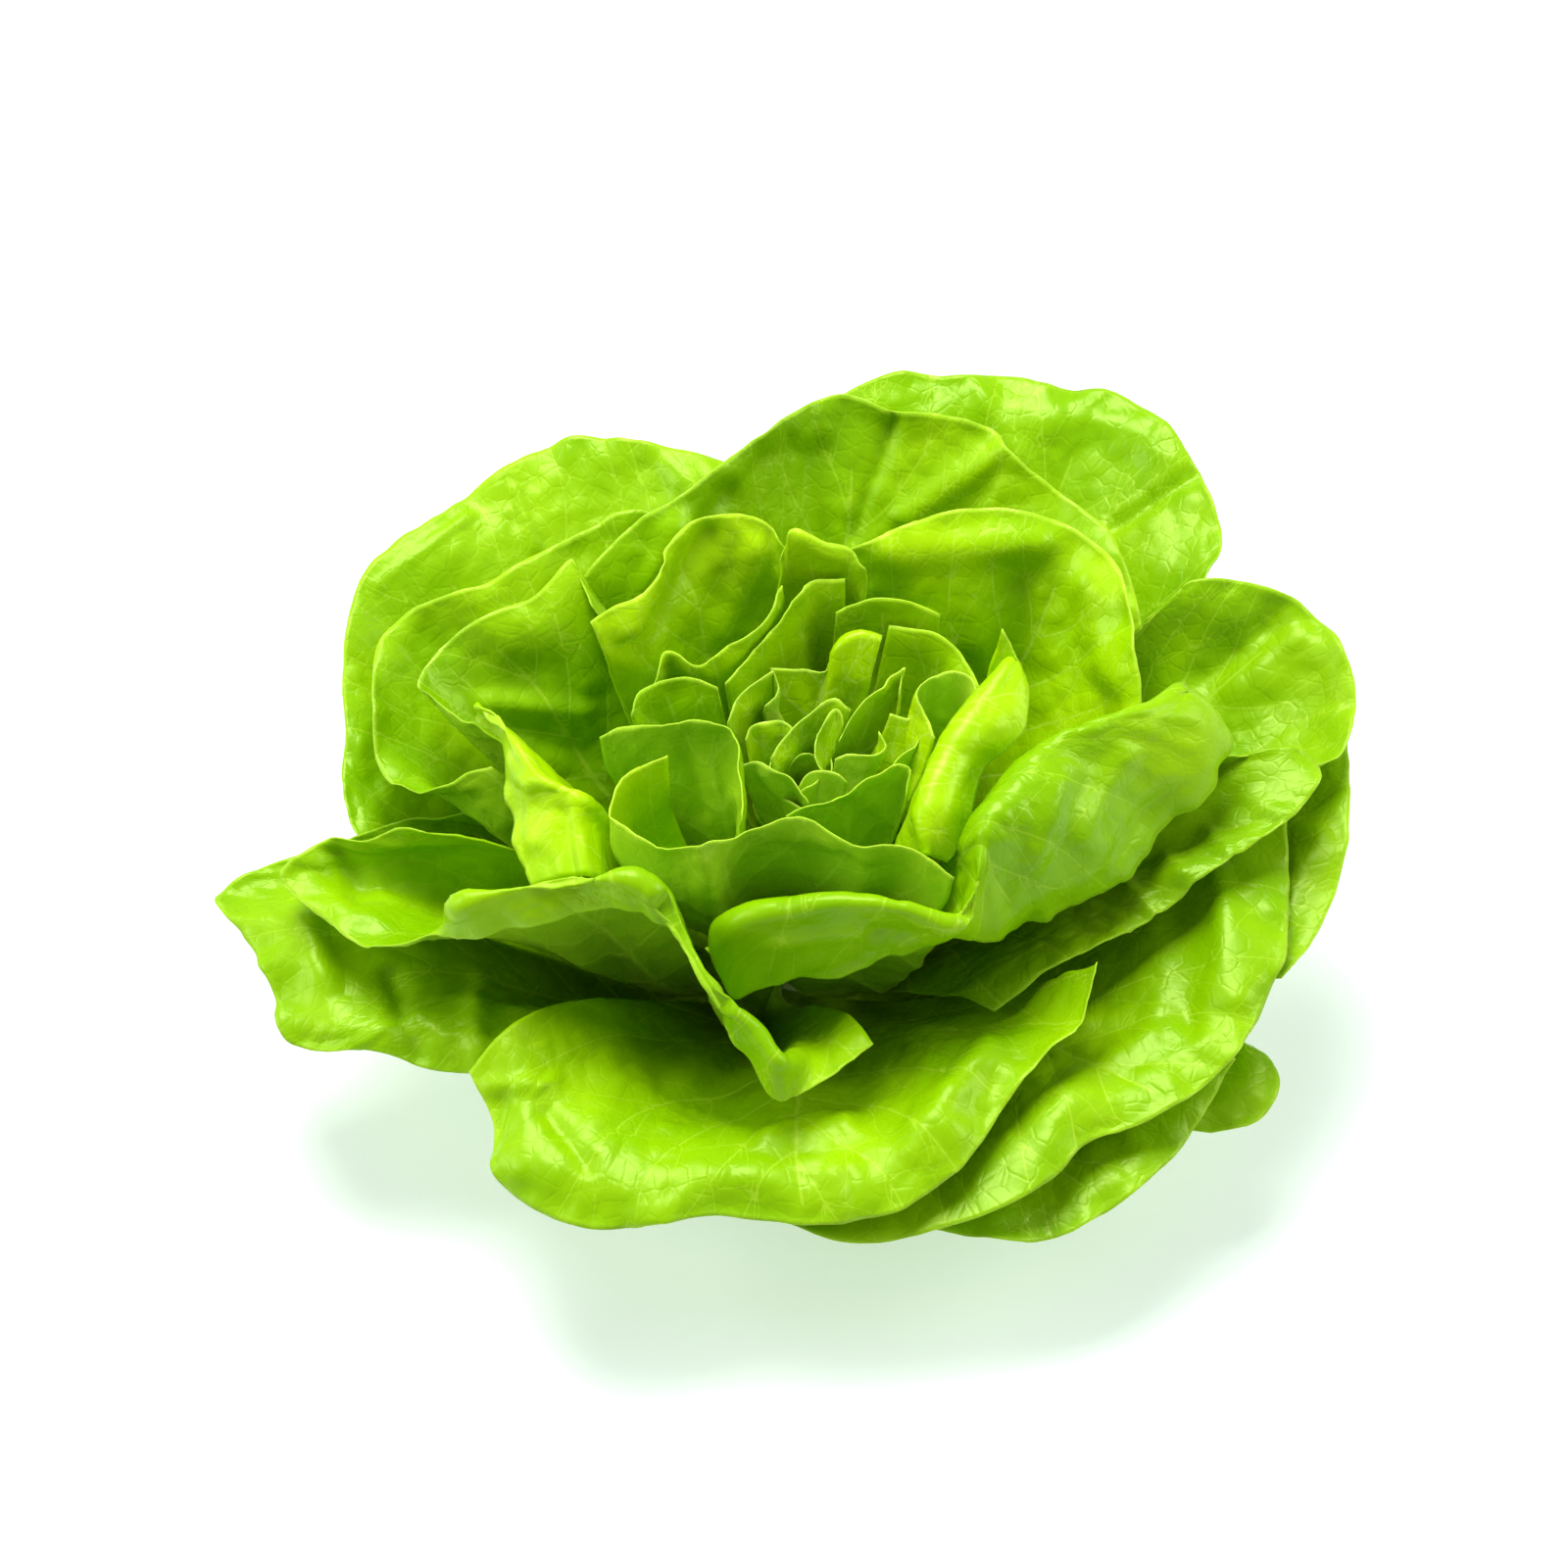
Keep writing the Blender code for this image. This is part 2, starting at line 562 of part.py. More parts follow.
def stem():
    """The cut stump: a turned solid with a flat face below and a rounded tip."""
    profile = [(0.0, 0.0), (STEM_RADIUS - STEM_EDGE, 0.0), (STEM_RADIUS, STEM_EDGE)]
    for height in np.linspace(STEM_WAIST_HEIGHT, STEM_HEIGHT - STEM_CROWN, STEM_RINGS):
        profile.append((stem_radius(height), height))
    profile += [(STEM_TOP_RADIUS - STEM_CROWN, STEM_HEIGHT), (0.0, STEM_HEIGHT)]
    form = bmesh.new()
    points = [form.verts.new((r * MM, 0.0, z * MM)) for r, z in profile]
    lines = [form.edges.new(pair) for pair in zip(points, points[1:])]
    bmesh.ops.spin(
        form, geom=points + lines, axis=(0, 0, 1), cent=(0, 0, 0),
        angle=2 * math.pi, steps=STEM_SIDES, use_merge=True,
    )
    bmesh.ops.remove_doubles(form, verts=form.verts, dist=1e-6)
    bmesh.ops.recalc_face_normals(form, faces=form.faces)
    mesh = bpy.data.meshes.new("stem")
    form.to_mesh(mesh)
    form.free()
    return add_object("stem", mesh, leaf_material("stem_flesh", STEM_COLOUR))


def heart_core():
    """The closed middle of the heart, a bud that the little leaves grow from."""
    form = bmesh.new()
    bmesh.ops.create_icosphere(form, subdivisions=2, radius=1.0)
    for point in form.verts:
        share = (point.co.z + 1.0) / 2.0
        width = HEART_CORE_RADIUS * (1.0 - HEART_CORE_TAPER * share)
        height = HEART_BASE + HEART_CORE_HEIGHT * share
        point.co = (point.co.x * width, point.co.y * width, height)
        point.co *= MM
    mesh = bpy.data.meshes.new("heart")
    form.to_mesh(mesh)
    form.free()
    return add_object("heart", mesh, leaf_material("heart_green", HEART_COLOUR))


def keep_outer_shell(mesh):
    """Fills sealed hollows: only the largest run of connected faces stays."""
    form = bmesh.new()
    form.from_mesh(mesh)
    waiting = set(form.faces)
    shells = []
    while waiting:
        shell = {waiting.pop()}
        edge_of_shell = list(shell)
        while edge_of_shell:
            face = edge_of_shell.pop()
            near = {f for edge in face.edges for f in edge.link_faces} & waiting
            waiting -= near
            shell |= near
            edge_of_shell += near
        shells.append(shell)
    shells.sort(key=len)
    for shell in shells[:-1]:
        bmesh.ops.delete(form, geom=list(shell), context="FACES")
    form.to_mesh(mesh)
    form.free()


def fused(obj, others):
    """Unites the objects with obj and removes them."""
    group = bpy.data.collections.new("repeats")
    for other in others:
        group.objects.link(other)
    union = obj.modifiers.new("union", "BOOLEAN")
    union.operation = "UNION"
    union.operand_type = "COLLECTION"
    union.collection = group
    union.solver = "MANIFOLD"
    graph = bpy.context.evaluated_depsgraph_get()
    mesh = bpy.data.meshes.new_from_object(obj.evaluated_get(graph))
    obj.modifiers.clear()
    keep_outer_shell(mesh)
    obj.data = mesh
    for other in others:
        bpy.data.objects.remove(other, do_unlink=True)
    bpy.data.collections.remove(group)
    return obj


def leaf_sheets():
    count = len(LEAVES)
    sheets = []
    for number, (_, bearing, lean, widening, stations) in enumerate(LEAVES):
        share = number / (count - 1)
        level = FIRST_LEVEL + (LAST_LEVEL - FIRST_LEVEL) * share
        reach = stem_radius(level) + ROOT_GAP + BLADE
        leaf = large_leaf(bearing, level, lean, widening, stations, reach, ROOT_HALF_ANGLE)
        sheets.append(leaf)
    reach = HEART_CORE_RADIUS * HEART_ROOT_SUNK
    for number, (_, bearing, lean, widening, stations) in enumerate(LITTLE_LEAVES):
        level = HEART_BASE + HEART_FIRST_ROOT + number * LITTLE_LEAF_RISE
        leaf = large_leaf(
            bearing, level, lean, widening, stations, reach, HEART_ROOT_HALF_ANGLE
        )
        sheets.append(leaf)
    chance = random.Random(HEART_SEED)
    sheets += [heart_leaf(number, chance) for number in range(HEART_LEAVES)]
    return sheets


def main():
    clear_scene()
    stem()
    sheets = bend_clear(leaf_sheets())
    for (name, *_), sheet in zip(LEAVES, sheets):
        mesh = blade_mesh(name, sheet)
        add_object(name, mesh, leaf_material(name + "_green", LEAF_COLOUR))
    core = heart_core()
    little = []
    for number, sheet in enumerate(sheets[len(LEAVES):]):
        name = f"heart_leaf_{number}"
        little.append(add_object(name, blade_mesh(name, sheet), core.data.materials[0]))
    fused(core, little)


main()
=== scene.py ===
"""A butterhead lettuce on a pale studio floor.

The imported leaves, heart and stem are replaced by finer ones of the same form: each leaf is a thin
blade on the same sheet, with its veins, the puckers between them, the folds that are seen on it
and a waved and notched rim. Lengths are millimetres until a mesh is made.
"""

import json
import math
import random

import bmesh
import bpy
import numpy as np
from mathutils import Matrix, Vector, noise
from mathutils.bvhtree import BVHTree
from mathutils.kdtree import KDTree


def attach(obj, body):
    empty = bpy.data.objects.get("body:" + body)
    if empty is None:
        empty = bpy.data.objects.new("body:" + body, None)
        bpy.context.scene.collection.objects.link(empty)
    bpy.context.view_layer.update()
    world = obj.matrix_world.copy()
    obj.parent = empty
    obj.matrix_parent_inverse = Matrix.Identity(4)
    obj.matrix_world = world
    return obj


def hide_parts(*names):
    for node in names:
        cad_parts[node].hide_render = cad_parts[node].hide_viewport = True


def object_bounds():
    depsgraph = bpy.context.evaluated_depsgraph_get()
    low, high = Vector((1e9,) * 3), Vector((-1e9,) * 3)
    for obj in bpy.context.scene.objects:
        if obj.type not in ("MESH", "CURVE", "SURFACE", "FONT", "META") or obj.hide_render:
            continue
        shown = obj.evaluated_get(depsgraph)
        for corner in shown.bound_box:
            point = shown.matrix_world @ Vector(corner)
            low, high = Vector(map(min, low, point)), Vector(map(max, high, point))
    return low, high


bl_info = {
    "name": "Butterhead lettuce",
    "version": (1, 0, 0),
    "blender": (4, 5, 0),
    "location": "View3D > Sidebar > Lettuce",
    "description": "Builds a head of butterhead lettuce from its leaves outwards in",
    "category": "Add Mesh",
}

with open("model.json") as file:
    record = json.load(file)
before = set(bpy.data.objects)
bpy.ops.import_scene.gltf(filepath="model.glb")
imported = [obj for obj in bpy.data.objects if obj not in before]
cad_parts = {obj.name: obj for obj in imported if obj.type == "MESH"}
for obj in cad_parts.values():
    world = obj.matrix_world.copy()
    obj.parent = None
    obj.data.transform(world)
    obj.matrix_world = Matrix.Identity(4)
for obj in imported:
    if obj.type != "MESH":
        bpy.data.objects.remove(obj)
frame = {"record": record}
CAD_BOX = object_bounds()

MM = 0.001

# Stem
STEM_RADIUS = 15.0
STEM_WAIST_HEIGHT = 8.0
STEM_TOP_RADIUS = 6.0
STEM_HEIGHT = 48.0
STEM_EDGE = 0.8
STEM_CROWN = 2.0
STEM_TAPER = 0.8
STEM_RINGS = 5
STEM_SIDES = 20
ROOT_GAP = 0.35

# Leaves
BLADE = 0.9
MIDRIB_EXTRA = 1.8
MIDRIB_SHARE = 0.45
FIRST_LEVEL = 6.0
LAST_LEVEL = 45.0
RISE_SHARE = 0.9
RISE_DROP = 12.0
ROLLED_RISE = 0.2
ROOT_HALF_ANGLE = 24.0
COLUMN_STEP = 13.0
FEWEST_COLUMNS = 5
ROWS = (0.0, 0.12, 0.27, 0.43, 0.58, 0.72, 0.86, 1.0)
FULLEST_AT = 0.8

# How a rib leaves the stem and arrives at the rim
OUTWARD_SHARE = 0.6
START_PULL = 0.38
END_PULL = 0.36
CREST_AT = 0.72
CREST_LEAN = 50.0
FOLD_PULL = 0.3
HANG_LEAN = -48.0
HANG_PULL = 0.32

# How leaves that touch are bent clear of each other
CLEARANCE = 2.2
REACH_OF_PUSH = 10.0
MARGIN_REACH = 5.0
STRAIGHT_SHARE = 0.8
LONGEST_PUSH = 2.0
SHORTEST_PUSH = 0.05
FREE_FROM = 0.25
FREE_TO = 0.75
RIM_LOOSE = 0.35
PASSES = 40

# Heart
HEART_BASE = 48.4
HEART_TOP = 84.0
HEART_CORE_RADIUS = 6.5
HEART_CORE_HEIGHT = 30.0
HEART_CORE_TAPER = 0.5
HEART_LEAVES = 5
HEART_STATIONS = 7
HEART_SEED = 4
HEART_FIRST_BEARING = 250.0
HEART_REACH = 9.0
HEART_INNER_REACH = 3.5
HEART_HALF_ANGLE = 44.0
HEART_HALF_ANGLE_GAIN = 18.0
HEART_TOP_SPREAD = 3.0
HEART_TIP_ROUNDING = 5.0
HEART_RIM_WAVE = 1.2
HEART_CURL = 0.12
HEART_CURL_WAVES = 3.0
HEART_FIRST_ROOT = 4.0
LITTLE_LEAF_RISE = 1.5
HEART_ROOT_RISE = 14.0
HEART_ROOT_HALF_ANGLE = 50.0
HEART_ROOT_SUNK = 0.6
HEART_LEAN = 86.0
GOLDEN_ANGLE = 137.5

# The view that the picture points are read in
VIEW_ELEVATION = math.radians(48.0)
VIEW_DISTANCE = 900.0
VIEW_FOCAL = 4000.0
VIEW_MIDDLE = 800.0
VIEW_AIM = np.array((-4.5, 0.0, 80.0))

# Each leaf, outermost first: name, bearing of its root, lean of its rim, how far its
# margins bow out, rim points.
# A rim point is picture x, picture y, height. A fourth number is its own lean. Three more
# numbers instead are the picture x, picture y and height of the crest of a rolled edge.
LEAVES = (
    ("leaf_small_right", 335, -5, 0.10, (
        (1240, 1060, 41), (1272, 1065, 39), (1300, 1080, 38), (1308, 1100, 37),
        (1280, 1148, 36), (1228, 1155, 36), (1195, 1150, 37))),
    ("leaf_low_front_right", 300, -10, 0.12, (
        (1262, 1085, 46), (1250, 1105, 44), (1225, 1150, 42), (1165, 1215, 40),
        (1090, 1258, 38), (1040, 1268, 37), (965, 1260, 38), (900, 1250, 40))),
    ("leaf_right_outer", 352, 5, 0.08, (
        (1372, 700, 80), (1378, 750, 76), (1380, 800, 72), (1375, 870, 68), (1345, 950, 62),
        (1308, 1000, 60))),
    ("leaf_back_right_outer", 62, 30, 0.16, (
        (830, 420, 90), (868, 398, 92), (905, 377, 94), (950, 389, 94), (1000, 378, 95),
        (1070, 392, 95), (1130, 397, 95), (1190, 430, 94), (1220, 474, 91), (1245, 530, 88),
        (1250, 555, 86), (1235, 592, 84), (1200, 640, 78))),
    ("leaf_back_left_outer", 140, 25, 0.15, (
        (790, 490, 92), (738, 467, 93), (660, 452, 93), (600, 444, 92), (520, 473, 89),
        (440, 528, 84), (370, 585, 78), (350, 640, 74), (348, 700, 70), (350, 760, 66),
        (347, 800, 62), (360, 850, 58), (400, 890, 52))),
    ("leaf_left_low", 212, -25, 0.06, (
        (480, 826, 60, 20), (430, 832, 60, 20), (355, 855, 60, 15), (285, 880, 59, 10),
        (217, 913, 58, 0),
        (240, 945, 57), (272, 1000, 54), (300, 1075, 50), (313, 1084, 49), (352, 1062, 52),
        (410, 1088, 50), (480, 1095, 49), (590, 1120, 45), (680, 1130, 43))),
    ("leaf_front_right", 318, -10, 0.12, (
        (1318, 815, 64), (1315, 845, 66), (1320, 900, 66), (1305, 1000, 62), (1280, 1055, 57),
        (1250, 1095, 54), (1190, 1140, 51), (1110, 1170, 50), (1060, 1220, 46),
        (985, 1250, 43), (920, 1268, 41), (850, 1270, 41), (795, 1250, 43))),
    ("leaf_left_second", 158, 35, 0.03, (
        (690, 530, 99), (668, 517, 100), (600, 540, 98), (500, 590, 94), (400, 635, 88),
        (380, 665, 86), (376, 700, 84), (385, 765, 80), (400, 790, 79), (420, 800, 79),
        (460, 800, 80), (500, 780, 83))),
    ("leaf_right_upper", 12, 35, 0.04, (
        (1165, 625, 87), (1210, 590, 93), (1300, 602, 92), (1345, 625, 90), (1380, 680, 86),
        (1385, 705, 84), (1365, 760, 83), (1335, 780, 83))),
    ("leaf_front", 262, -35, 0.06, (
        (477, 1095, 58), (500, 1135, 54), (498, 1190, 50), (512, 1212, 49), (575, 1248, 48),
        (625, 1258, 48), (727, 1243, 49), (830, 1252, 48), (930, 1232, 50), (985, 1190, 54),
        (1020, 1135, 58, -15), (1060, 1080, 63, 5), (1110, 1020, 71, 25), (1118, 980, 75, 35))),
    ("leaf_back", 92, 55, 0.08, (
        (575, 620, 100), (600, 580, 106), (640, 535, 110), (667, 518, 112), (740, 465, 114),
        (800, 425, 116), (850, 402, 117), (880, 402, 117), (907, 417, 114), (980, 425, 113),
        (1030, 447, 110), (1060, 487, 106), (1125, 530, 102, 45), (1143, 555, 100, 35),
        (1157, 598, 97, 30), (1165, 640, 92, 30))),
    ("leaf_right_second", 338, 10, 0.03, (
        (1250, 772, 85), (1340, 765, 85), (1352, 790, 84), (1310, 850, 78), (1250, 885, 75),
        (1178, 936, 68), (1110, 975, 63), (1060, 1012, 58), (1020, 1040, 54))),
    ("leaf_front_left_rolled", 225, 10, 0.00, (
        (430, 850, 82), (340, 852, 77), (283, 888, 72), (330, 935, 72), (380, 962, 74),
        (405, 966, 76), (440, 955, 80, 455, 940, 84), (500, 953, 84, 505, 915, 92),
        (550, 948, 87, 560, 900, 97), (600, 935, 90, 605, 896, 98),
        (640, 930, 91, 650, 897, 97), (680, 935, 89, 678, 915, 95),
        (700, 960, 86, 700, 945, 91), (715, 1000, 82, 722, 990, 88),
        (745, 1027, 78, 745, 1015, 83), (755, 1075, 70, 775, 1050, 76),
        (800, 1122, 62, 805, 1085, 69), (850, 1105, 62), (893, 1068, 64))),
    ("leaf_left_pointed", 162, 45, 0.02, (
        (612, 612, 105), (602, 580, 107), (575, 566, 109), (550, 600, 105),
        (500, 620, 102), (440, 668, 97), (413, 697, 94), (450, 722, 92), (480, 735, 91))),
    ("leaf_right_rolled", 308, 30, 0.06, (
        (1225, 712, 99, 1200, 718, 103), (1250, 750, 93, 1150, 732, 107),
        (1240, 790, 88, 1100, 748, 108), (1200, 840, 83, 1060, 765, 108),
        (1145, 905, 77, 1020, 800, 107), (1090, 925, 75, 1000, 830, 105),
        (1020, 958, 76, 985, 870, 101), (960, 965, 80, 965, 935, 92),
        (910, 975, 79, 925, 925, 95), (850, 1000, 73, 870, 918, 96),
        (800, 1003, 71, 810, 925, 92), (757, 1022, 66, 750, 940, 86),
        (714, 970, 77))),
    ("leaf_upper_left", 122, 75, 0.06, (
        (606, 636, 112), (645, 617, 115), (650, 590, 116), (680, 555, 118), (700, 537, 118),
        (760, 522, 119), (797, 548, 114), (812, 575, 108))),
    ("leaf_upper_right", 30, 60, 0.06, (
        (868, 560, 111), (900, 545, 114), (940, 525, 118), (1030, 518, 121), (1100, 540, 118),
        (1150, 590, 114), (1165, 660, 108), (1172, 710, 102), (1160, 730, 98),
        (1110, 745, 93))),
    ("leaf_left_middle", 195, 60, 0.00, (
        (488, 735, 94, 490, 722, 97), (505, 770, 91, 523, 749, 97),
        (508, 802, 88, 559, 797, 96), (515, 818, 86, 584, 810, 95),
        (533, 856, 82, 602, 822, 94), (535, 880, 80, 608, 850, 91),
        (548, 905, 78, 620, 895, 86))),
    ("leaf_front_middle", 255, 95, 0.06, (
        (676, 764, 101), (635, 784, 100), (611, 812, 98), (612, 835, 98),
        (648, 856, 98), (678, 874, 97), (720, 860, 100), (770, 836, 102), (825, 838, 102),
        (875, 863, 100), (893, 865, 99), (910, 852, 101), (945, 878, 99), (978, 895, 96))),
    ("leaf_curly_back", 77, 80, 0.03, (
        (795, 568, 113), (807, 532, 121), (845, 547, 118), (870, 556, 116), (886, 577, 112))),
    ("leaf_right_spear", 340, 70, 0.03, (
        (1024, 640, 118), (1050, 700, 108, 1012, 680, 111), (1052, 722, 106, 1000, 708, 109),
        (1020, 762, 102, 970, 740, 106), (1000, 800, 98, 945, 790, 103),
        (985, 860, 93, 930, 845, 99), (970, 882, 92, 945, 872, 95))),
    ("leaf_curl_inner", 118, 85, 0.03, (
        (664, 700, 98), (668, 678, 101), (680, 662, 104), (698, 664, 103), (712, 678, 101),
        (735, 662, 103), (760, 648, 104), (785, 622, 107), (797, 596, 110))),
    ("leaf_back_curl", 86, 85, 0.02, (
        (736, 694, 98), (752, 680, 99), (770, 662, 101), (790, 640, 104), (806, 614, 107),
        (825, 593, 109), (845, 583, 110), (862, 588, 109))),
    ("leaf_ribbon_back", 62, 85, 0.03, (
        (853, 622, 104), (875, 611, 106), (903, 606, 107), (932, 611, 106), (960, 624, 103))),
    ("leaf_left_inner", 205, 90, 0.03, (
        (612, 757, 96), (635, 746, 99), (665, 739, 101), (706, 739, 102), (727, 731, 103),
        (745, 739, 102), (751, 765, 99), (751, 835, 92))),
    ("leaf_ribbon_inner", 45, 80, 0.03, (
        (908, 634, 101), (932, 638, 101), (957, 642, 101), (978, 655, 99), (992, 676, 97),
        (1004, 698, 94))),
    ("leaf_front_inner", 285, 80, 0.04, (
        (806, 838, 93), (824, 826, 95), (848, 813, 96), (875, 799, 98), (902, 787, 99),
        (925, 783, 99), (937, 790, 98), (930, 812, 94))),
    ("leaf_inner_left_back", 165, 80, 0.03, (
        (640, 726, 96), (650, 706, 99), (678, 693, 101), (708, 689, 102), (734, 697, 101))),
)

# The little leaves of the heart that can be told apart, outermost first, in the same form
LITTLE_LEAVES = (
    ("right_loop", 8, 85, 0.0, (
        (957, 752, 94), (944, 727, 97), (937, 704, 100), (952, 690, 102), (975, 687, 102),
        (993, 695, 101), (998, 714, 98))),
    ("left_loop", 150, 85, 0.0, (
        (744, 736, 95), (754, 713, 98), (772, 694, 100), (790, 682, 101), (799, 687, 100),
        (794, 702, 98), (778, 716, 96))),
    ("back_low", 82, 80, 0.0, (
        (786, 676, 96), (808, 679, 96), (832, 685, 95), (856, 684, 95, 858, 658, 101),
        (878, 681, 95, 880, 650, 102), (893, 670, 96, 898, 656, 101))),
    ("left", 175, 80, 0.0, (
        (757, 752, 90), (764, 738, 92), (780, 733, 93), (798, 735, 93), (808, 743, 92))),
    ("front_left", 235, 75, 0.0, (
        (752, 784, 88), (768, 779, 90), (786, 784, 90), (803, 792, 89), (814, 806, 87),
        (822, 822, 84))),
    ("right", 350, 75, 0.0, (
        (912, 782, 86), (932, 764, 89), (946, 745, 92), (944, 728, 94), (932, 729, 93),
        (922, 731, 92), (910, 724, 93))),
    ("back_pointed", 40, 80, 0.0, (
        (922, 706, 94), (923, 678, 98), (908, 690, 97), (888, 713, 94), (872, 735, 91),
        (862, 755, 89))),
    ("front", 285, 82, 0.0, (
        (814, 800, 85), (824, 786, 87), (842, 780, 88), (858, 784, 88), (866, 796, 86))),
    ("middle_left", 140, 80, 0.0, (
        (786, 772, 88), (803, 752, 91), (822, 734, 93), (842, 720, 94), (856, 712, 95),
        (868, 724, 93))),
    ("front_right", 330, 85, 0.0, (
        (852, 776, 87), (868, 769, 89), (888, 766, 90), (903, 760, 91), (900, 745, 93))),
    ("pale_curl", 300, 88, 0.0, (
        (840, 786, 87), (833, 766, 90), (834, 746, 92), (843, 729, 94), (855, 722, 95),
        (858, 738, 92))),
)


def seen_at(x, y, height):
    """The point at this height that is seen at picture point x, y."""
    sine, cosine = math.sin(VIEW_ELEVATION), math.cos(VIEW_ELEVATION)
    eye = VIEW_AIM + VIEW_DISTANCE * np.array((0.0, -cosine, sine))
    right = (x - VIEW_MIDDLE) / VIEW_FOCAL
    up = (VIEW_MIDDLE - y) / VIEW_FOCAL
    ray = np.array((right, cosine + up * sine, up * cosine - sine))
    return eye + ray * (height - eye[2]) / ray[2]


def stem_radius(height):
    share = max(0.0, height - STEM_WAIST_HEIGHT) / (STEM_HEIGHT - STEM_WAIST_HEIGHT)
    return STEM_RADIUS + (STEM_TOP_RADIUS - STEM_RADIUS) * share ** STEM_TAPER


def polar(bearing, reach, height):
    angle = math.radians(bearing)
    return np.array((reach * math.cos(angle), reach * math.sin(angle), height))


def bezier(points, t):
    a, b, c, d = points
    u = 1.0 - t
    return a * u ** 3 + b * 3 * u * u * t + c * 3 * u * t * t + d * t ** 3


def turned(across, lean):
    """A direction that leans up from the horizontal direction across."""
    angle = math.radians(lean)
    flat = np.array((across[0], across[1], 0.0))
    flat /= max(np.linalg.norm(flat), 1e-6)
    return flat * math.cos(angle) + np.array((0.0, 0.0, math.sin(angle)))


def rib(root, rim, crest, lean):
    """Points from the root to one rim point, over the crest where the edge is rolled."""
    outward = np.array((root[0], root[1], 0.0))
    outward /= np.linalg.norm(outward)
    end = rim if crest is None else crest
    across = end - root
    length = np.linalg.norm(across)
    across = across / length
    steepness = math.degrees(math.asin(across[2]))
    rise = max(0.0, RISE_SHARE * steepness - RISE_DROP)
    if crest is not None:
        rise *= ROLLED_RISE
    start = turned(outward * OUTWARD_SHARE + across * (1.0 - OUTWARD_SHARE), rise)
    arrive = turned(end - root, lean if crest is None else CREST_LEAN)
    body = (root, root + start * length * START_PULL, end - arrive * length * END_PULL, end)
    if crest is None:
        return [bezier(body, t) for t in ROWS]
    drop = np.linalg.norm(rim - end)
    hang = turned(rim - end, HANG_LEAN)
    fold = (end, end + arrive * drop * FOLD_PULL, rim - hang * drop * HANG_PULL, rim)
    points = []
    for t in ROWS:
        if t <= CREST_AT:
            points.append(bezier(body, t / CREST_AT))
        else:
            points.append(bezier(fold, (t - CREST_AT) / (1.0 - CREST_AT)))
    return points


def widened(points, side, widening):
    """The rib bowed out sideways, most at the leaf's two margins, so that the blade is full."""
    along = points[-1] - points[0]
    sideways = np.array((-along[1], along[0], 0.0)) * side * abs(side) * widening
    return [p + sideways * math.sin(math.pi * t ** FULLEST_AT) for p, t in zip(points, ROWS)]


def through(rows, places, wanted):
    """Rows of points read at the wanted places along a smooth curve through them."""
    slopes = np.gradient(rows, places, axis=0)
    found = []
    for place in wanted:
        i = min(max(np.searchsorted(places, place) - 1, 0), len(places) - 2)
        span = places[i + 1] - places[i]
        t = (place - places[i]) / span
        t2, t3 = t * t, t * t * t
        found.append(
            rows[i] * (2 * t3 - 3 * t2 + 1)
            + slopes[i] * span * (t3 - 2 * t2 + t)
            + rows[i + 1] * (3 * t2 - 2 * t3)
            + slopes[i + 1] * span * (t3 - t2)
        )
    return np.array(found)


def leaf_sheet(roots, rims, crests, leans, widening):
    """The middle surface of a leaf: an array of columns, rows and coordinates."""
    steps = np.linalg.norm(np.diff(rims, axis=0), axis=1)
    places = np.concatenate(((0.0,), np.cumsum(steps))) / steps.sum()
    ribs = [rib(*four) for four in zip(roots(places), rims, crests, leans)]
    ribs = [widened(r, 2.0 * place - 1.0, widening) for r, place in zip(ribs, places)]
    columns = max(FEWEST_COLUMNS, round(steps.sum() / COLUMN_STEP))
    return through(np.array(ribs), places, np.linspace(0.0, 1.0, columns + 1))


def large_leaf(bearing, level, lean, widening, stations, reach, half_angle):
    rims = np.array([seen_at(*station[:3]) for station in stations])
    turning = rims[:-1, 0] * rims[1:, 1] - rims[1:, 0] * rims[:-1, 1]
    if turning.sum() < 0:
        stations = stations[::-1]
        rims = rims[::-1]
    crests = [seen_at(*station[3:]) if len(station) == 6 else None for station in stations]
    leans = [station[3] if len(station) == 4 else lean for station in stations]

    def roots(places):
        return [polar(bearing + half_angle * (2 * p - 1), reach, level) for p in places]

    return leaf_sheet(roots, rims, crests, leans, widening)


def heart_leaf(number, chance):
    """One little leaf of the heart: a cupped blade whose root is sunk in the core."""
    share = number / (HEART_LEAVES - 1)
    bearing = HEART_FIRST_BEARING + GOLDEN_ANGLE * number
    reach = HEART_REACH * (1.0 - share) + HEART_INNER_REACH * share
    top = HEART_TOP + chance.uniform(-HEART_TOP_SPREAD, HEART_TOP_SPREAD)
    half = HEART_HALF_ANGLE + HEART_HALF_ANGLE_GAIN * share
    rims = []
    for across in np.linspace(-1.0, 1.0, HEART_STATIONS):
        curl = 1.0 + HEART_CURL * math.sin(HEART_CURL_WAVES * across + number)
        wave = chance.uniform(-HEART_RIM_WAVE, HEART_RIM_WAVE)
        height = top - HEART_TIP_ROUNDING * across ** 2 + wave
        rims.append(polar(bearing + half * across, reach * curl, height))
    level = HEART_BASE + HEART_FIRST_ROOT + HEART_ROOT_RISE * share
    sunk = HEART_CORE_RADIUS * HEART_ROOT_SUNK

    def roots(places):
        turns = [bearing + HEART_ROOT_HALF_ANGLE * (2 * p - 1) for p in places]
        return [polar(turn, sunk, level) for turn in turns]

    leans = [HEART_LEAN] * HEART_STATIONS
    return leaf_sheet(roots, np.array(rims), [None] * HEART_STATIONS, leans, 0.0)


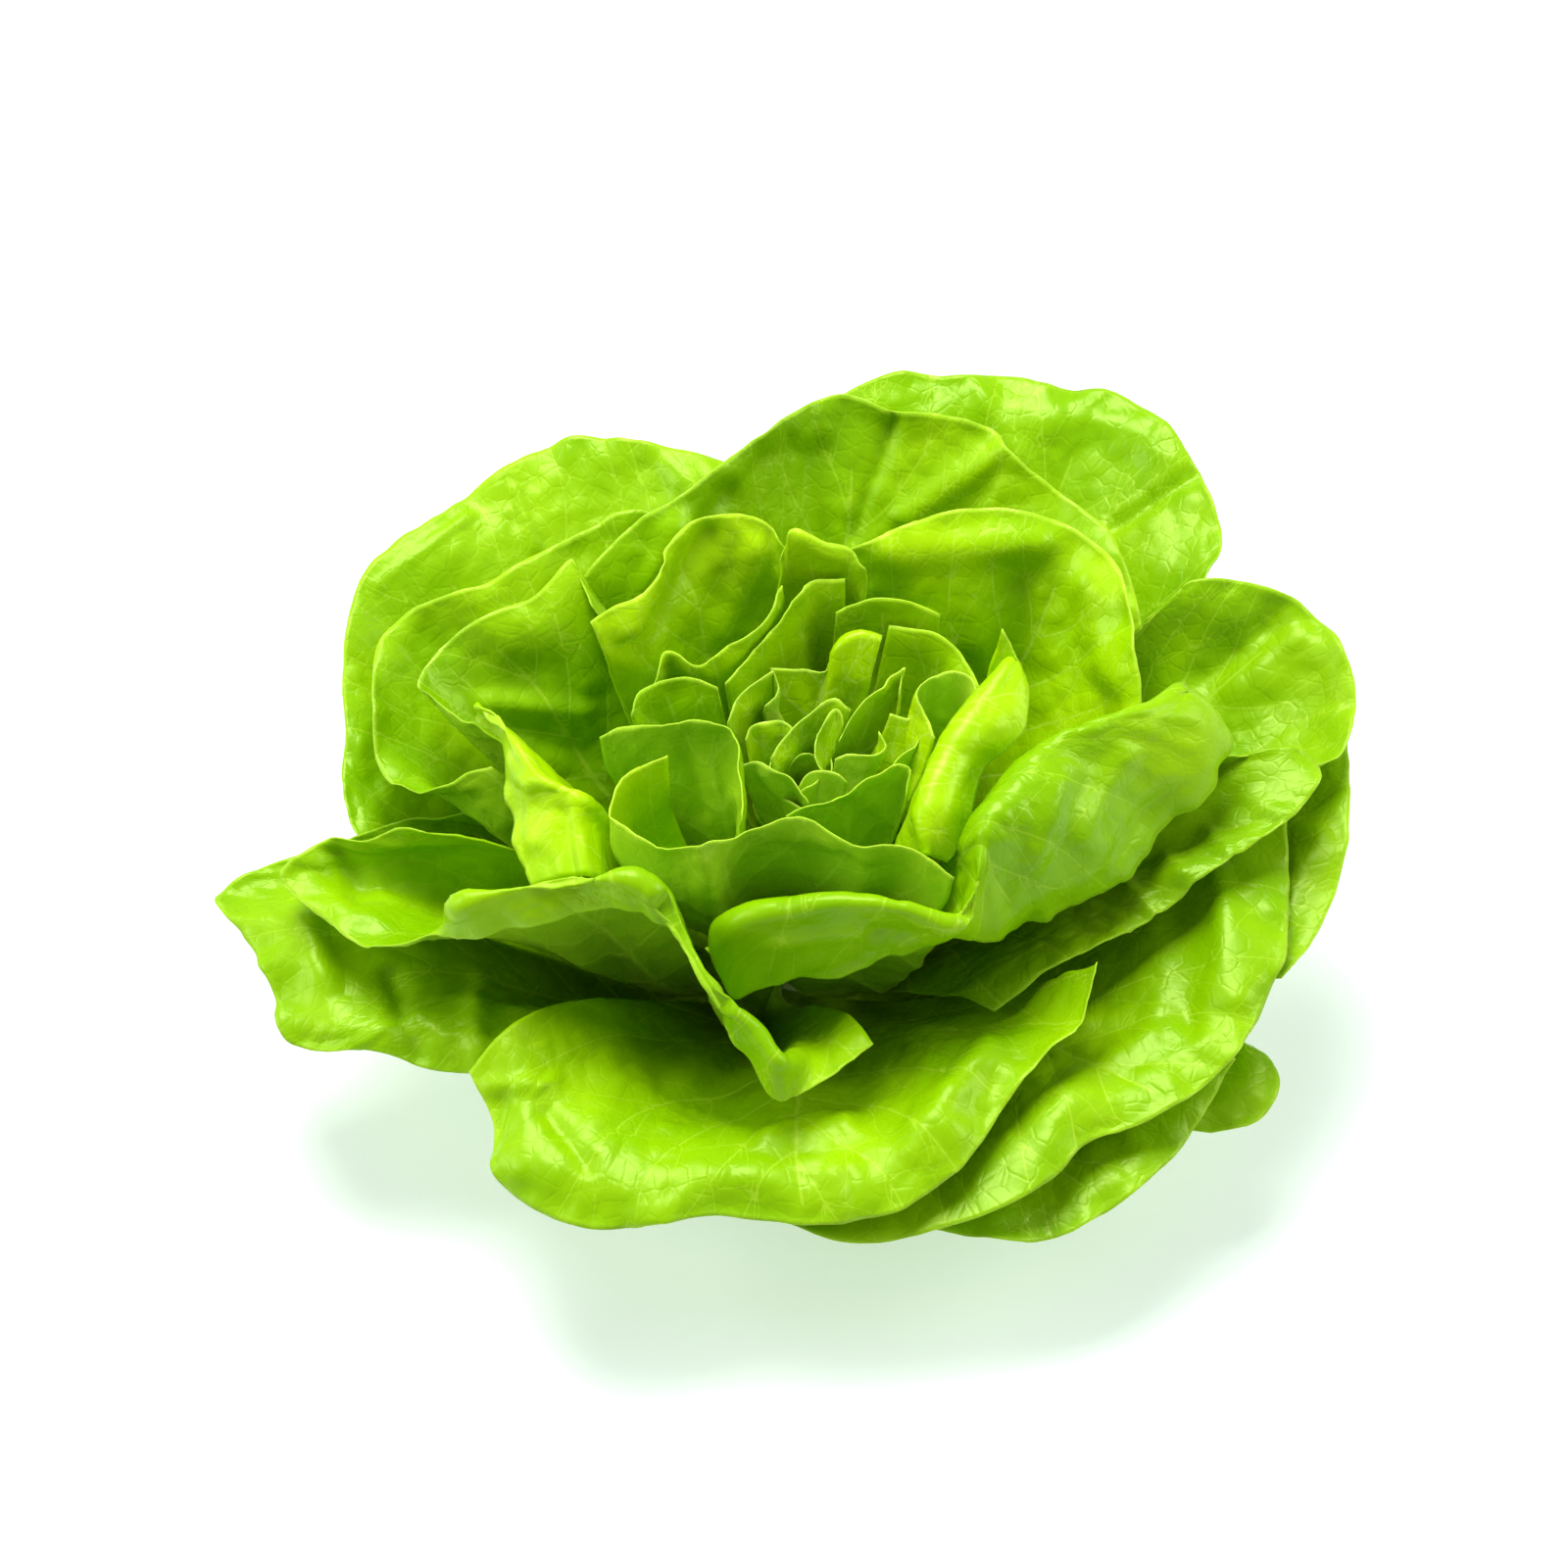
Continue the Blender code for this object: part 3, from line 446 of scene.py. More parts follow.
def sheet_normals(sheet):
    """Unit normals on the side that faces the heart."""
    along = np.gradient(sheet, axis=0)
    outward = np.gradient(sheet, axis=1)
    normals = np.cross(outward, along)
    return normals / np.maximum(np.linalg.norm(normals, axis=2, keepdims=True), 1e-9)


def grid_triangles(columns, rows):
    """Corner numbers of a grid's triangles, facing the heart."""
    faces = []
    for i in range(columns - 1):
        for j in range(rows - 1):
            a, b = i * rows + j, i * rows + j + 1
            c, d = a + rows, b + rows
            faces.append((a, b, d))
            faces.append((a, d, c))
    return faces


def surface_tree(sheet):
    points = [Vector(p) for p in sheet.reshape(-1, 3)]
    return BVHTree.FromPolygons(points, grid_triangles(*sheet.shape[:2]))


def on_margin(triangle, columns, rows):
    cell = triangle // 2
    i, j = divmod(cell, rows - 1)
    return i in (0, columns - 2) or j == rows - 2


def clearing_push(point, tree, shape, gap):
    """How far this point must move to stand clear on the heart's side of one outer leaf."""
    place, normal, triangle, distance = tree.find_nearest(Vector(point), REACH_OF_PUSH)
    if place is None:
        return None, triangle
    side = (Vector(point) - place).dot(normal)
    beyond = distance > MARGIN_REACH or abs(side) < STRAIGHT_SHARE * distance
    if side >= gap or (beyond and on_margin(triangle, *shape)):
        return None, triangle
    return np.array(normal) * min(gap - side, LONGEST_PUSH), triangle


def keep_longer(push, index, found):
    if np.dot(found, found) > np.dot(push[index], push[index]):
        push[index] = found


def softened(push):
    """The push with its neighbours drawn along, so that a leaf bends and doesn't dent."""
    wide = push.copy()
    for _ in range(2):
        padded = np.pad(wide, ((1, 1), (1, 1), (0, 0)), mode="edge")
        ring = padded[:-2, 1:-1] + padded[2:, 1:-1] + padded[1:-1, :-2] + padded[1:-1, 2:]
        wide = 0.5 * wide + 0.125 * ring
    longer = np.linalg.norm(wide, axis=2, keepdims=True) > np.linalg.norm(
        push, axis=2, keepdims=True
    )
    return np.where(longer, wide, push)


def probes(sheet):
    """Points of a sheet to test, each with the grid corners that it moves."""
    found = [(sheet[index], (index,)) for index in np.ndindex(sheet.shape[:2])]
    centres = (sheet[:-1, :-1] + sheet[1:, :-1] + sheet[:-1, 1:] + sheet[1:, 1:]) / 4.0
    for i, j in np.ndindex(centres.shape[:2]):
        found.append((centres[i, j], ((i, j), (i + 1, j), (i, j + 1), (i + 1, j + 1))))
    return found


def boxes_meet(one, other, gap):
    low = np.maximum(one.min(axis=(0, 1)), other.min(axis=(0, 1)))
    high = np.minimum(one.max(axis=(0, 1)), other.max(axis=(0, 1)))
    return bool((low - high < gap).all())


def part_pair(inner, outer, tree, inner_push, outer_push):
    """Adds the pushes that part one inner leaf from one leaf outside it."""
    if not boxes_meet(inner, outer, CLEARANCE):
        return
    columns, rows = outer.shape[:2]
    for point, corners in probes(inner):
        found, triangle = clearing_push(point, tree, (columns, rows), CLEARANCE)
        if found is None:
            continue
        for corner in corners:
            keep_longer(inner_push, corner, found * 0.5)
        i, j = divmod(triangle // 2, rows - 1)
        for corner in ((i, j), (i + 1, j), (i, j + 1), (i + 1, j + 1)):
            keep_longer(outer_push, corner, found * -0.5)


def bend_clear(sheets):
    """Bends the leaves apart, so that each keeps its place outside the next.

    The little leaves of the heart are fused later, so they are parted from the large ones only.
    """
    out = np.array(ROWS)
    loose = np.interp(out, (0.0, FREE_FROM, FREE_TO, 1.0), (0.0, 1.0, 1.0, RIM_LOOSE))
    loose = loose[None, :, None]
    for _ in range(PASSES):
        trees = [surface_tree(sheet) for sheet in sheets]
        pushes = [np.zeros_like(sheet) for sheet in sheets]
        for number, inner in enumerate(sheets):
            for other in range(min(number, len(LEAVES))):
                part_pair(inner, sheets[other], trees[other], pushes[number], pushes[other])
        worst = 0.0
        for sheet, push in zip(sheets, pushes):
            sheet += softened(push) * loose
            worst = max(worst, float(np.abs(push).max()))
        if worst < SHORTEST_PUSH:
            break
    return sheets


def leaf_sheets():
    count = len(LEAVES)
    sheets = []
    for number, (_, bearing, lean, widening, stations) in enumerate(LEAVES):
        share = number / (count - 1)
        level = FIRST_LEVEL + (LAST_LEVEL - FIRST_LEVEL) * share
        reach = stem_radius(level) + ROOT_GAP + BLADE
        leaf = large_leaf(bearing, level, lean, widening, stations, reach, ROOT_HALF_ANGLE)
        sheets.append(leaf)
    reach = HEART_CORE_RADIUS * HEART_ROOT_SUNK
    for number, (_, bearing, lean, widening, stations) in enumerate(LITTLE_LEAVES):
        level = HEART_BASE + HEART_FIRST_ROOT + number * LITTLE_LEAF_RISE
        leaf = large_leaf(
            bearing, level, lean, widening, stations, reach, HEART_ROOT_HALF_ANGLE
        )
        sheets.append(leaf)
    chance = random.Random(HEART_SEED)
    sheets += [heart_leaf(number, chance) for number in range(HEART_LEAVES)]
    return sheets


# Fine leaves: the grid of a blade and the room beside it
MM_A_METRE = 1000.0
FEWEST_STEPS = 12
LITTLE_STEP_SHARE = 0.8
WIDEST_ROOM = 12.0
LITTLE_ROOM = 3.2
LEAST_ROOM = 0.3
SHARE_OF_ROOM = 0.45
WIDEST_FAN = 2.3
LEAF_SEED = 11

# Veins on the flat leaf, with lengths as shares of the leaf's reach and angles in radians
VEIN_STEP = 0.8
VEIN_TAPER = 0.6
VEIN_WANDER = 0.12
WANDER_WAVES = 9.0
WANDER_SHIFT = 40.0
MIDRIB_HALF_WIDTH = 0.9
MIDRIB_LENGTH = 0.94
MIDRIB_BEND = 0.05
SIDE_VEIN_HALF_WIDTH = 0.42
SIDE_VEIN_STEP = 15.0
FEWEST_SIDE_VEINS = 4
FIRST_SIDE_VEIN = 0.06
SIDE_VEIN_SPAN = 0.8
SIDE_VEIN_ANGLE = 0.62
LOW_VEIN_ANGLE = 0.75
SIDE_VEIN_REACH = 0.9
SIDE_VEIN_EXTRA = 0.28
SIDE_VEIN_BEND = 0.35
BRANCHES_AT = (0.3, 0.52, 0.74)
BRANCH_TURNS = (-0.75, 0.65)
BRANCH_WIDTH = 0.6
BRANCH_BEND = 0.1

# Relief of a fine leaf
VEIN_SOFTNESS = 0.6
FULL_VEIN_WIDTH = 0.45
PUFF_WIDTH = 4.5
PUCKER_CELL = 7.5
PUCKER_CELL_SHIFT = 3.1
PUCKER_CELL_RISE = 0.5
LEAF_SHIFT = 7.3
BROAD_WAVE = 34.0
TURNED_OUT_WAVE = 28.0
LUMP_WAVE = 13.0
FRILL_WAVE = 6.5
NOISE_GAIN = 1.6
NOISE_DEPTH = 0.37
WAVES_FROM = 0.1
WAVES_FULL_AT = 0.5
RUFFLE_WIDTH = 9.0
RUFFLE_FRILL = 0.45
FLARE_AT = 9.0
FLARE_WIDTH = 6.5
NOTCH_WIDTH = 5.0
RIM_NOTCH = 0.8
RIM_LINE = 0.6
RIM_THIN_SHARE = 0.45
RIM_THIN_WIDTH = 6.0
RIDGE_WIDTH = 2.6
RIDGE_OF_VEIN = 0.8
RIDGE_FROM_RIM = 8.0

# Colours of each leaf slot as sRGB hex digits: fresh, deep and pale
LEAF_COLOURS = {
    "outer_leaf": ("90C000", "76AB00", "C6E448"),
    "inner_leaf": ("A8D400", "88BC00", "CEE858"),
    "heart_leaf": ("B4DA02", "90BE00", "D8EC78"),
}
# Painted shade: the colour that every leaf is multiplied by deep in the head, where shade falls between the
# leaves
PAINTED_SHADE_TINT = "8CA050"

# Looks of the leaf tissue: spans of what drives a colour, and shares of the colour mixed in
TONE_SCALE = 28.0
MOTTLE_SPAN = (0.35, 0.68)
ROOT_SPAN = (0.0, 0.4)
ROOT_SHARE = 0.8
# Painted shade: the span along the blade from its root over which the colour is darkened, and how strongly
# at the root
PAINTED_SHADE_SPAN = (0.2, 0.75)
PAINTED_SHADE_SHARE = 0.55
VEIN_LINE_SPAN = (0.4, 1.5)
VEIN_NEAR_SPAN = (0.9, 2.0)
VEIN_SHARE = 0.24
RIM_SHARE = 0.24
UNDER_SHARE = 0.14
NET_CELL = 0.0042
NET_EDGE_SPAN = (0.0, 0.12)
NET_BUMP = {"Strength": 0.16, "Distance": 0.00035}
GRAIN = 0.0009
GRAIN_BUMP = {"Strength": 0.12, "Distance": 0.0003}
GLOSS_SPAN = (0.3, 0.7)
GLOSS_ROUGHNESS = (0.26, 0.40)
WAX = {
    "IOR": 1.45,
    "Specular IOR Level": 0.45,
    "Specular Tint": (0.85, 1.0, 0.35, 1.0),
    "Subsurface Radius": (0.8, 1.0, 0.1),
    "Subsurface Scale": 0.0008,
}

# Stage: each light's name, place, size and power, in metres and watts
LIGHTS = (
    ("top_light", (-0.15, 0.3, 1.1), 0.6, 17.0),
    ("left_light", (-0.9, -0.1, 0.6), 0.5, 5.0),
    ("right_light", (0.9, 0.0, 0.6), 0.5, 5.0),
)
WORLD_STRENGTH = 0.3
FLOOR_HALF_SIZE = 6.0
FLOOR_COLOUR = "CBD5D2"
FLOOR_GLOW = "F2FAF6"
FLOOR_GLOW_STRENGTH = 0.46
FLOOR_ROUGHNESS = 0.5
SENSOR_WIDTH = 36.0

# The bent sheets, which the step that builds the leaves keeps for the step that builds the heart
SHEETS = {"all": None}

# Folds and swellings seen on each leaf: the picture x and y of both ends, height and half
# width in pixels
FOLDS = {
    "leaf_upper_right": (
        (905, 562, 1060, 550, 3.6, 16), (985, 560, 992, 645, 2.6, 16), (1042, 600, 1045, 680, -3.0, 22),
        (1110, 600, 1138, 690, 2.4, 18),
    ),
    "leaf_back": (
        (915, 425, 870, 548, -1.8, 8), (1030, 455, 925, 525, 3.0, 14), (833, 466, 833, 545, -2.4, 16),
        (690, 540, 640, 620, 2.6, 14), (740, 500, 700, 560, -2.0, 12),
    ),
    "leaf_back_right_outer": ((1140, 540, 1222, 480, -1.8, 8), (1000, 400, 1040, 470, 1.6, 12),),
    "leaf_right_upper": ((1290, 645, 1230, 690, -2.6, 18), (1325, 645, 1262, 705, 2.0, 20),),
    "leaf_right_rolled": (
        (1150, 775, 1105, 850, 1.8, 13), (1080, 800, 1050, 880, 1.8, 11), (1125, 890, 1200, 800, -1.4, 9),
        (795, 962, 870, 950, 1.4, 10), (895, 950, 950, 952, -1.2, 8),
    ),
    "leaf_right_second": (
        (1150, 905, 1185, 935, 1.5, 7), (1190, 878, 1225, 908, 1.5, 7), (1232, 850, 1265, 880, 1.5, 7),
        (1275, 815, 1310, 838, 1.5, 8),
    ),
    "leaf_front_right": (
        (1245, 900, 1262, 1020, 3.4, 14), (1203, 930, 1212, 1040, -3.0, 17),
        (1090, 1120, 1170, 1060, 2.0, 14),
    ),
    "leaf_front": (
        (558, 1142, 600, 1195, -1.8, 10), (500, 1110, 560, 1110, 1.8, 10), (690, 1096, 778, 1132, -3.4, 16),
        (785, 1155, 862, 1146, 2.8, 14), (940, 1150, 1010, 1075, 2.4, 16), (868, 1195, 880, 1250, 1.8, 12),
    ),
    "leaf_left_low": (
        (485, 1005, 485, 1090, 2.4, 12), (300, 890, 330, 1000, 2.0, 14), (400, 1000, 420, 1080, -2.0, 12),
    ),
    "leaf_front_left_rolled": ((345, 870, 368, 912, -2.8, 14), (610, 960, 650, 1030, 2.2, 14),),
    "leaf_left_pointed": (
        (500, 716, 596, 722, 2.4, 12), (530, 748, 600, 766, -1.2, 14), (588, 600, 600, 690, 2.4, 14),
    ),
    "leaf_left_middle": ((540, 800, 548, 860, 1.4, 8), (575, 830, 585, 890, -1.4, 8),),
    "leaf_upper_left": (
        (723, 545, 650, 660, -3.4, 13), (664, 570, 645, 640, 3.0, 12), (772, 560, 738, 640, 3.0, 14),
    ),
    "leaf_left_inner": ((700, 760, 715, 830, 2.4, 10),),
    "leaf_front_middle": ((720, 885, 732, 930, -2.4, 14), (860, 880, 880, 935, 2.4, 14),),
    "leaf_front_inner": ((858, 822, 900, 850, 1.8, 12),),
    "leaf_curly_back": ((820, 545, 872, 575, 3.0, 10),),
    "leaf_back_left_outer": (
        (382, 602, 478, 526, 1.4, 4), (525, 499, 545, 559, 1.2, 4), (400, 700, 380, 800, -2.0, 16),
    ),
    "back_low": ((868, 652, 874, 690, 2.4, 9), (825, 680, 835, 720, -1.6, 9),),
    "left": ((782, 742, 792, 775, 1.8, 8),),
    "front_left": ((778, 790, 800, 822, -1.8, 8),),
    "right": ((925, 745, 920, 775, 1.6, 7),),
    "right_loop": ((962, 700, 958, 730, -1.8, 9),),
    "middle_left": (
        (825, 745, 815, 780, -1.5, 8),
    ),
}


def smoothstep(low, high, value):
    share = np.clip((value - low) / (high - low), 0.0, 1.0)
    return share * share * (3.0 - 2.0 * share)


def room_beside(sheets):
    """For each sheet, how far each of its points is from the nearest other sheet."""
    trees = [surface_tree(sheet) for sheet in sheets]
    found = []
    for number, sheet in enumerate(sheets):
        room = np.full(sheet.shape[:2], WIDEST_ROOM)
        others = [k for k in range(len(sheets)) if k != number]
        near = [trees[k] for k in others if boxes_meet(sheet, sheets[k], WIDEST_ROOM)]
        for index in np.ndindex(room.shape):
            for tree in near:
                distance = tree.find_nearest(Vector(sheet[index]), room[index])[3]
                if distance is not None:
                    room[index] = min(room[index], distance)
        found.append(room)
    return found


def fine_grid(values, columns, rows):
    """A coarse array read at a finer grid, smoothly in both directions."""
    wide = through(values, np.arange(len(values)), np.linspace(0.0, len(values) - 1.0, columns))
    deep = through(np.swapaxes(wide, 0, 1), np.array(ROWS), np.linspace(0.0, 1.0, rows))
    return np.swapaxes(deep, 0, 1)


def flat_layout(sheet):
    """Where each point of the leaf lies when the leaf is pressed flat, as a fan round its root."""
    steps = np.linalg.norm(np.diff(sheet, axis=1), axis=2)
    out = np.concatenate((np.zeros((len(sheet), 1)), np.cumsum(steps, axis=1)), axis=1)
    rim = np.linalg.norm(np.diff(sheet[:, -1], axis=0), axis=1)
    along = np.concatenate(((0.0,), np.cumsum(rim)))
    half = min(along[-1] / (2.0 * out[:, -1].mean()), WIDEST_FAN)
    angle = (2.0 * along / along[-1] - 1.0) * half
    flat = np.stack((out * np.sin(angle)[:, None], out * np.cos(angle)[:, None]), axis=2)
    return flat, out[:, -1:] - out, half


def vein_line(start, angle, length, width, bend):
    """Points along one vein that turns gently and thins out: x, y, half width, direction x and y."""
    points = []
    place = np.array(start, float)
    steps = max(3, int(length / VEIN_STEP))
    for step in range(steps):
        share = step / steps
        wander = VEIN_WANDER * math.sin(share * WANDER_WAVES + width * WANDER_SHIFT)
        turn = angle + bend * share + wander
        ahead = np.array((math.sin(turn), math.cos(turn)))
        points.append((place[0], place[1], width * (1.0 - VEIN_TAPER * share), ahead[0], ahead[1]))
        place = place + VEIN_STEP * ahead
    return points


def vein_branches(vein, angle, length, chance):
    """The branches on both sides of one side vein."""
    branches = []
    for part in BRANCHES_AT:
        x, y, thinned = vein[int(part * len(vein))][:3]
        for turn in BRANCH_TURNS:
            reach = length * chance.uniform(0.2, 0.34)
            toward = angle + turn * chance.uniform(0.8, 1.2)
            branches += vein_line((x, y), toward, reach, thinned * BRANCH_WIDTH, BRANCH_BEND)
    return branches


def leaf_veins(reach, half, chance):
    """The midrib, its side veins and their branches on the flat leaf."""
    veins = vein_line((0.0, 0.0), 0.0, reach * MIDRIB_LENGTH, MIDRIB_HALF_WIDTH, MIDRIB_BEND)
    count = max(FEWEST_SIDE_VEINS, int(reach / SIDE_VEIN_STEP))
    for number in range(count):
        for side in (-1.0, 1.0):
            share = (number + 0.3 + 0.4 * chance.random()) / count
            y = reach * (FIRST_SIDE_VEIN + SIDE_VEIN_SPAN * share)
            steep = 1.0 - share
            opening = SIDE_VEIN_ANGLE + LOW_VEIN_ANGLE * steep * min(1.0, half)
            angle = side * opening * chance.uniform(0.9, 1.1)
            length = (reach - y) * SIDE_VEIN_REACH + reach * SIDE_VEIN_EXTRA
            width = SIDE_VEIN_HALF_WIDTH * (0.6 + 0.4 * steep)
            vein = vein_line((0.0, y), angle, length, width, -side * SIDE_VEIN_BEND)
            veins += vein
            veins += vein_branches(vein, angle, length, chance)
    return veins


def vein_field(flat, veins):
    """For each point of the flat leaf: how far the nearest vein is, how far to its side, its half width."""
    tree = KDTree(len(veins))
    for number, point in enumerate(veins):
        tree.insert((point[0], point[1], 0.0), number)
    tree.balance()
    near = np.empty(flat.shape[:2])
    side = np.empty(flat.shape[:2])
    width = np.empty(flat.shape[:2])
    for index in np.ndindex(near.shape):
        _, number, near[index] = tree.find((flat[index][0], flat[index][1], 0.0))
        x, y, width[index], ahead_x, ahead_y = veins[number]
        side[index] = (flat[index][0] - x) * ahead_y - (flat[index][1] - y) * ahead_x
    return near, side, width


def over(flat, value_at):
    """A value worked out from the flat place of each point."""
    found = np.empty(flat.shape[:2])
    for index in np.ndindex(found.shape):
        found[index] = value_at(*flat[index])
    return found


def noise_over(flat, size, shift):
    """Smooth noise of about plus or minus one over the flat leaf, one lump per size."""
    deep = shift * NOISE_DEPTH
    return over(flat, lambda x, y: noise.noise((x / size + shift, y / size - shift, deep))) * NOISE_GAIN


def cells_over(flat, size, shift):
    """How far inside its cell each point lies: nought on the net between cells."""

    def inside(x, y):
        near = noise.voronoi((x / size + shift, y / size, 0.0))[0]
        return near[1] - near[0]

    return over(flat, inside)


def picture_points(points):
    """Where points are seen in the picture, the other way round from seen_at."""
    sine, cosine = math.sin(VIEW_ELEVATION), math.cos(VIEW_ELEVATION)
    from_eye = points - VIEW_AIM - VIEW_DISTANCE * np.array((0.0, -cosine, sine))
    deep = from_eye[..., 1] * cosine - from_eye[..., 2] * sine
    up = from_eye[..., 1] * sine + from_eye[..., 2] * cosine
    return np.stack((from_eye[..., 0] / deep, -up / deep), axis=-1) * VIEW_FOCAL + VIEW_MIDDLE


def folds_over(name, points):
    """How far the folds that are seen on this leaf lift each of its points."""
    seen = picture_points(points)
    found = np.zeros(points.shape[:2])
    for x0, y0, x1, y1, height, width in FOLDS.get(name, ()):
        start = np.array((x0, y0), float)
        run = np.array((x1, y1)) - start
        along = ((seen - start) @ run) / (run @ run)
        off = np.linalg.norm(seen - start - np.clip(along, 0.0, 1.0)[..., None] * run, axis=2)
        found += height * np.exp(-((off / width) ** 2))
    return found


def hill(distance, width):
    return np.exp(-((distance / width) ** 2))


def fine_leaf(name, sheet, room, number, step, looks):
    """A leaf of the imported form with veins, puckers and a waved rim, as one closed blade."""
    chance = random.Random(LEAF_SEED + number)
    rim = np.linalg.norm(np.diff(sheet[:, -1], axis=0), axis=1).sum()
    rib_length = np.linalg.norm(np.diff(sheet, axis=1), axis=2).sum(axis=1).mean()
    columns = max(FEWEST_STEPS, round(rim / step))
    rows = max(FEWEST_STEPS, round(rib_length / step))
    base = fine_grid(sheet, columns, rows)
    thickness = looks.blade * MM_A_METRE
    vein_depth = looks.vein_depth * MM_A_METRE
    free = fine_grid(room[:, :, None], columns, rows)[:, :, 0] - thickness
    free = np.clip(free, LEAST_ROOM, WIDEST_ROOM)
    flat, from_rim, half = flat_layout(base)
    along = 1.0 - from_rim / np.maximum(from_rim[:, :1], 1e-6)
    veins = leaf_veins(from_rim[:, :1].mean(), half, chance)
    distance, side, width = vein_field(flat, veins)
    vein = hill(distance, width + VEIN_SOFTNESS) * smoothstep(0.0, FULL_VEIN_WIDTH, width)
    shift = number * LEAF_SHIFT
    lumps = noise_over(flat, LUMP_WAVE, shift + 4.0)
    frill = noise_over(flat, FRILL_WAVE, shift + 9.0)

    cells = cells_over(flat, PUCKER_CELL, number * PUCKER_CELL_SHIFT)
    cells = np.clip(cells, 0.0, PUCKER_CELL_RISE) / PUCKER_CELL_RISE
    puff = 1.0 - hill(distance, PUFF_WIDTH)
    lift = looks.pucker * MM_A_METRE * (puff * (0.5 + 0.7 * lumps) + 0.5 * np.sqrt(cells))
    broad = noise_over(flat, BROAD_WAVE, shift)
    lift += looks.wave * MM_A_METRE * broad * smoothstep(WAVES_FROM, WAVES_FULL_AT, along)
    near_rim = np.exp(-from_rim / RUFFLE_WIDTH)
    lift += looks.ruffle * MM_A_METRE * near_rim * (lumps + RUFFLE_FRILL * frill)
    turned_out = smoothstep(-0.5, 0.6, noise_over(flat, TURNED_OUT_WAVE, shift + 2.0))
    lift += looks.flare * MM_A_METRE * hill(from_rim - FLARE_AT, FLARE_WIDTH) * turned_out
    lift += folds_over(name, base)
    lift -= vein_depth * vein
    limit = SHARE_OF_ROOM * free
    lift = limit * np.tanh(lift / limit)

    place = base + sheet_normals(base) * lift[:, :, None]
    outward = np.gradient(base, axis=1)
    outward /= np.maximum(np.linalg.norm(outward, axis=2, keepdims=True), 1e-9)
    notch = np.exp(-from_rim / NOTCH_WIDTH) * (0.55 * frill + 0.6 * lumps - 0.5) * RIM_NOTCH
    place += outward * notch[:, :, None]
    ridge = MIDRIB_EXTRA * hill(distance, RIDGE_WIDTH) * np.clip(1.0 - along / MIDRIB_SHARE, 0.0, 1.0)
    full = RIM_THIN_SHARE + (1.0 - RIM_THIN_SHARE) * smoothstep(0.0, RIM_THIN_WIDTH, from_rim)
    thick = thickness * full + ridge
    thick += vein_depth * RIDGE_OF_VEIN * vein * smoothstep(0.0, RIDGE_FROM_RIM, from_rim)
    fields = {
        "vein_near": distance,
        "vein_side": side / width,
        "rim": np.exp(-from_rim / RIM_LINE),
        "out": along,
    }
    return blade(name, place, thick, flat, fields)


def mesh_from(form, name):
    """The finished smooth mesh of a form, which is freed."""
    for face in form.faces:
        face.smooth = True
    mesh = bpy.data.meshes.new(name)
    form.to_mesh(mesh)
    form.free()
    return mesh


def blade(name, place, thick, flat, fields):
    """A grid bent to the leaf's upper face and given its lower face and edge."""
    columns, rows = place.shape[:2]
    form = bmesh.new()
    sheet_map = form.loops.layers.uv.new("leaf")
    layers = {key: form.verts.layers.float.new(key) for key in fields}
    back = form.verts.layers.float.new("back")
    bmesh.ops.create_grid(form, x_segments=columns - 1, y_segments=rows - 1, size=1.0)
    form.verts.ensure_lookup_table()
    normals = sheet_normals(place)
    upper = list(form.verts)
    last = (columns - 1, rows - 1)
    order = [tuple(round((v.co[k] + 1.0) / 2.0 * last[k]) for k in (0, 1)) for v in upper]
    copied = bmesh.ops.duplicate(form, geom=form.faces[:] + form.edges[:] + upper)
    lower = [copied["vert_map"][v] for v in upper]
    lower_faces = [item for item in copied["geom"] if isinstance(item, bmesh.types.BMFace)]
    for side, points in ((0.5, upper), (-0.5, lower)):
        for point, index in zip(points, order):
            spot = (place[index] + normals[index] * thick[index] * side) * MM
            point.co = np.clip(spot, *CAD_BOX)
            for key, layer in layers.items():
                point[layer] = fields[key][index]
            point[back] = 0.0 if side > 0 else 1.0
    bmesh.ops.reverse_faces(form, faces=lower_faces)
    edges = [e for e in form.edges if e.is_boundary]
    bmesh.ops.bridge_loops(form, edges=edges)
    spots = {}
    for points in (upper, lower):
        for point, index in zip(points, order):
            spots[point] = flat[index] * MM
    for face in form.faces:
        for loop in face.loops:
            loop[sheet_map].uv = spots[loop.vert]
    bmesh.ops.recalc_face_normals(form, faces=form.faces)
    return mesh_from(form, name)


def linear(code):
    """A colour as six hex digits of sRGB, turned to the linear values that shaders take."""
    parts = [int(code[i:i + 2], 16) / 255.0 for i in (0, 2, 4)]
    return [p / 12.92 if p <= 0.04045 else ((p + 0.055) / 1.055) ** 2.4 for p in parts] + [1.0]


def add_node(tree, kind, settings=None, values=None, links=None):
    """Adds a node, sets its properties and input values, and links (input, source socket) pairs."""
    node = tree.nodes.new(kind)
    for key, value in (settings or {}).items():
        setattr(node, key, value)
    for key, value in (values or {}).items():
        node.inputs[key].default_value = value
    for key, source in (links or {}).items():
        tree.links.new(source, node.inputs[key])
    return node


def attribute(tree, name):
    return add_node(tree, "ShaderNodeAttribute", {"attribute_name": name}).outputs["Fac"]


def noise_at(tree, spot, scale, detail):
    values = {"Scale": scale, "Detail": detail}
    links = {"Vector": spot.outputs["Object"]}
    return add_node(tree, "ShaderNodeTexNoise", {}, values, links).outputs["Fac"]


def ramp(tree, source, span, target=(0.0, 1.0), curve="LINEAR"):
    """The source turned from its span to the target span."""
    values = {"From Min": span[0], "From Max": span[1], "To Min": target[0], "To Max": target[1]}
    settings = {"interpolation_type": curve}
    return add_node(tree, "ShaderNodeMapRange", settings, values, {"Value": source}).outputs["Result"]


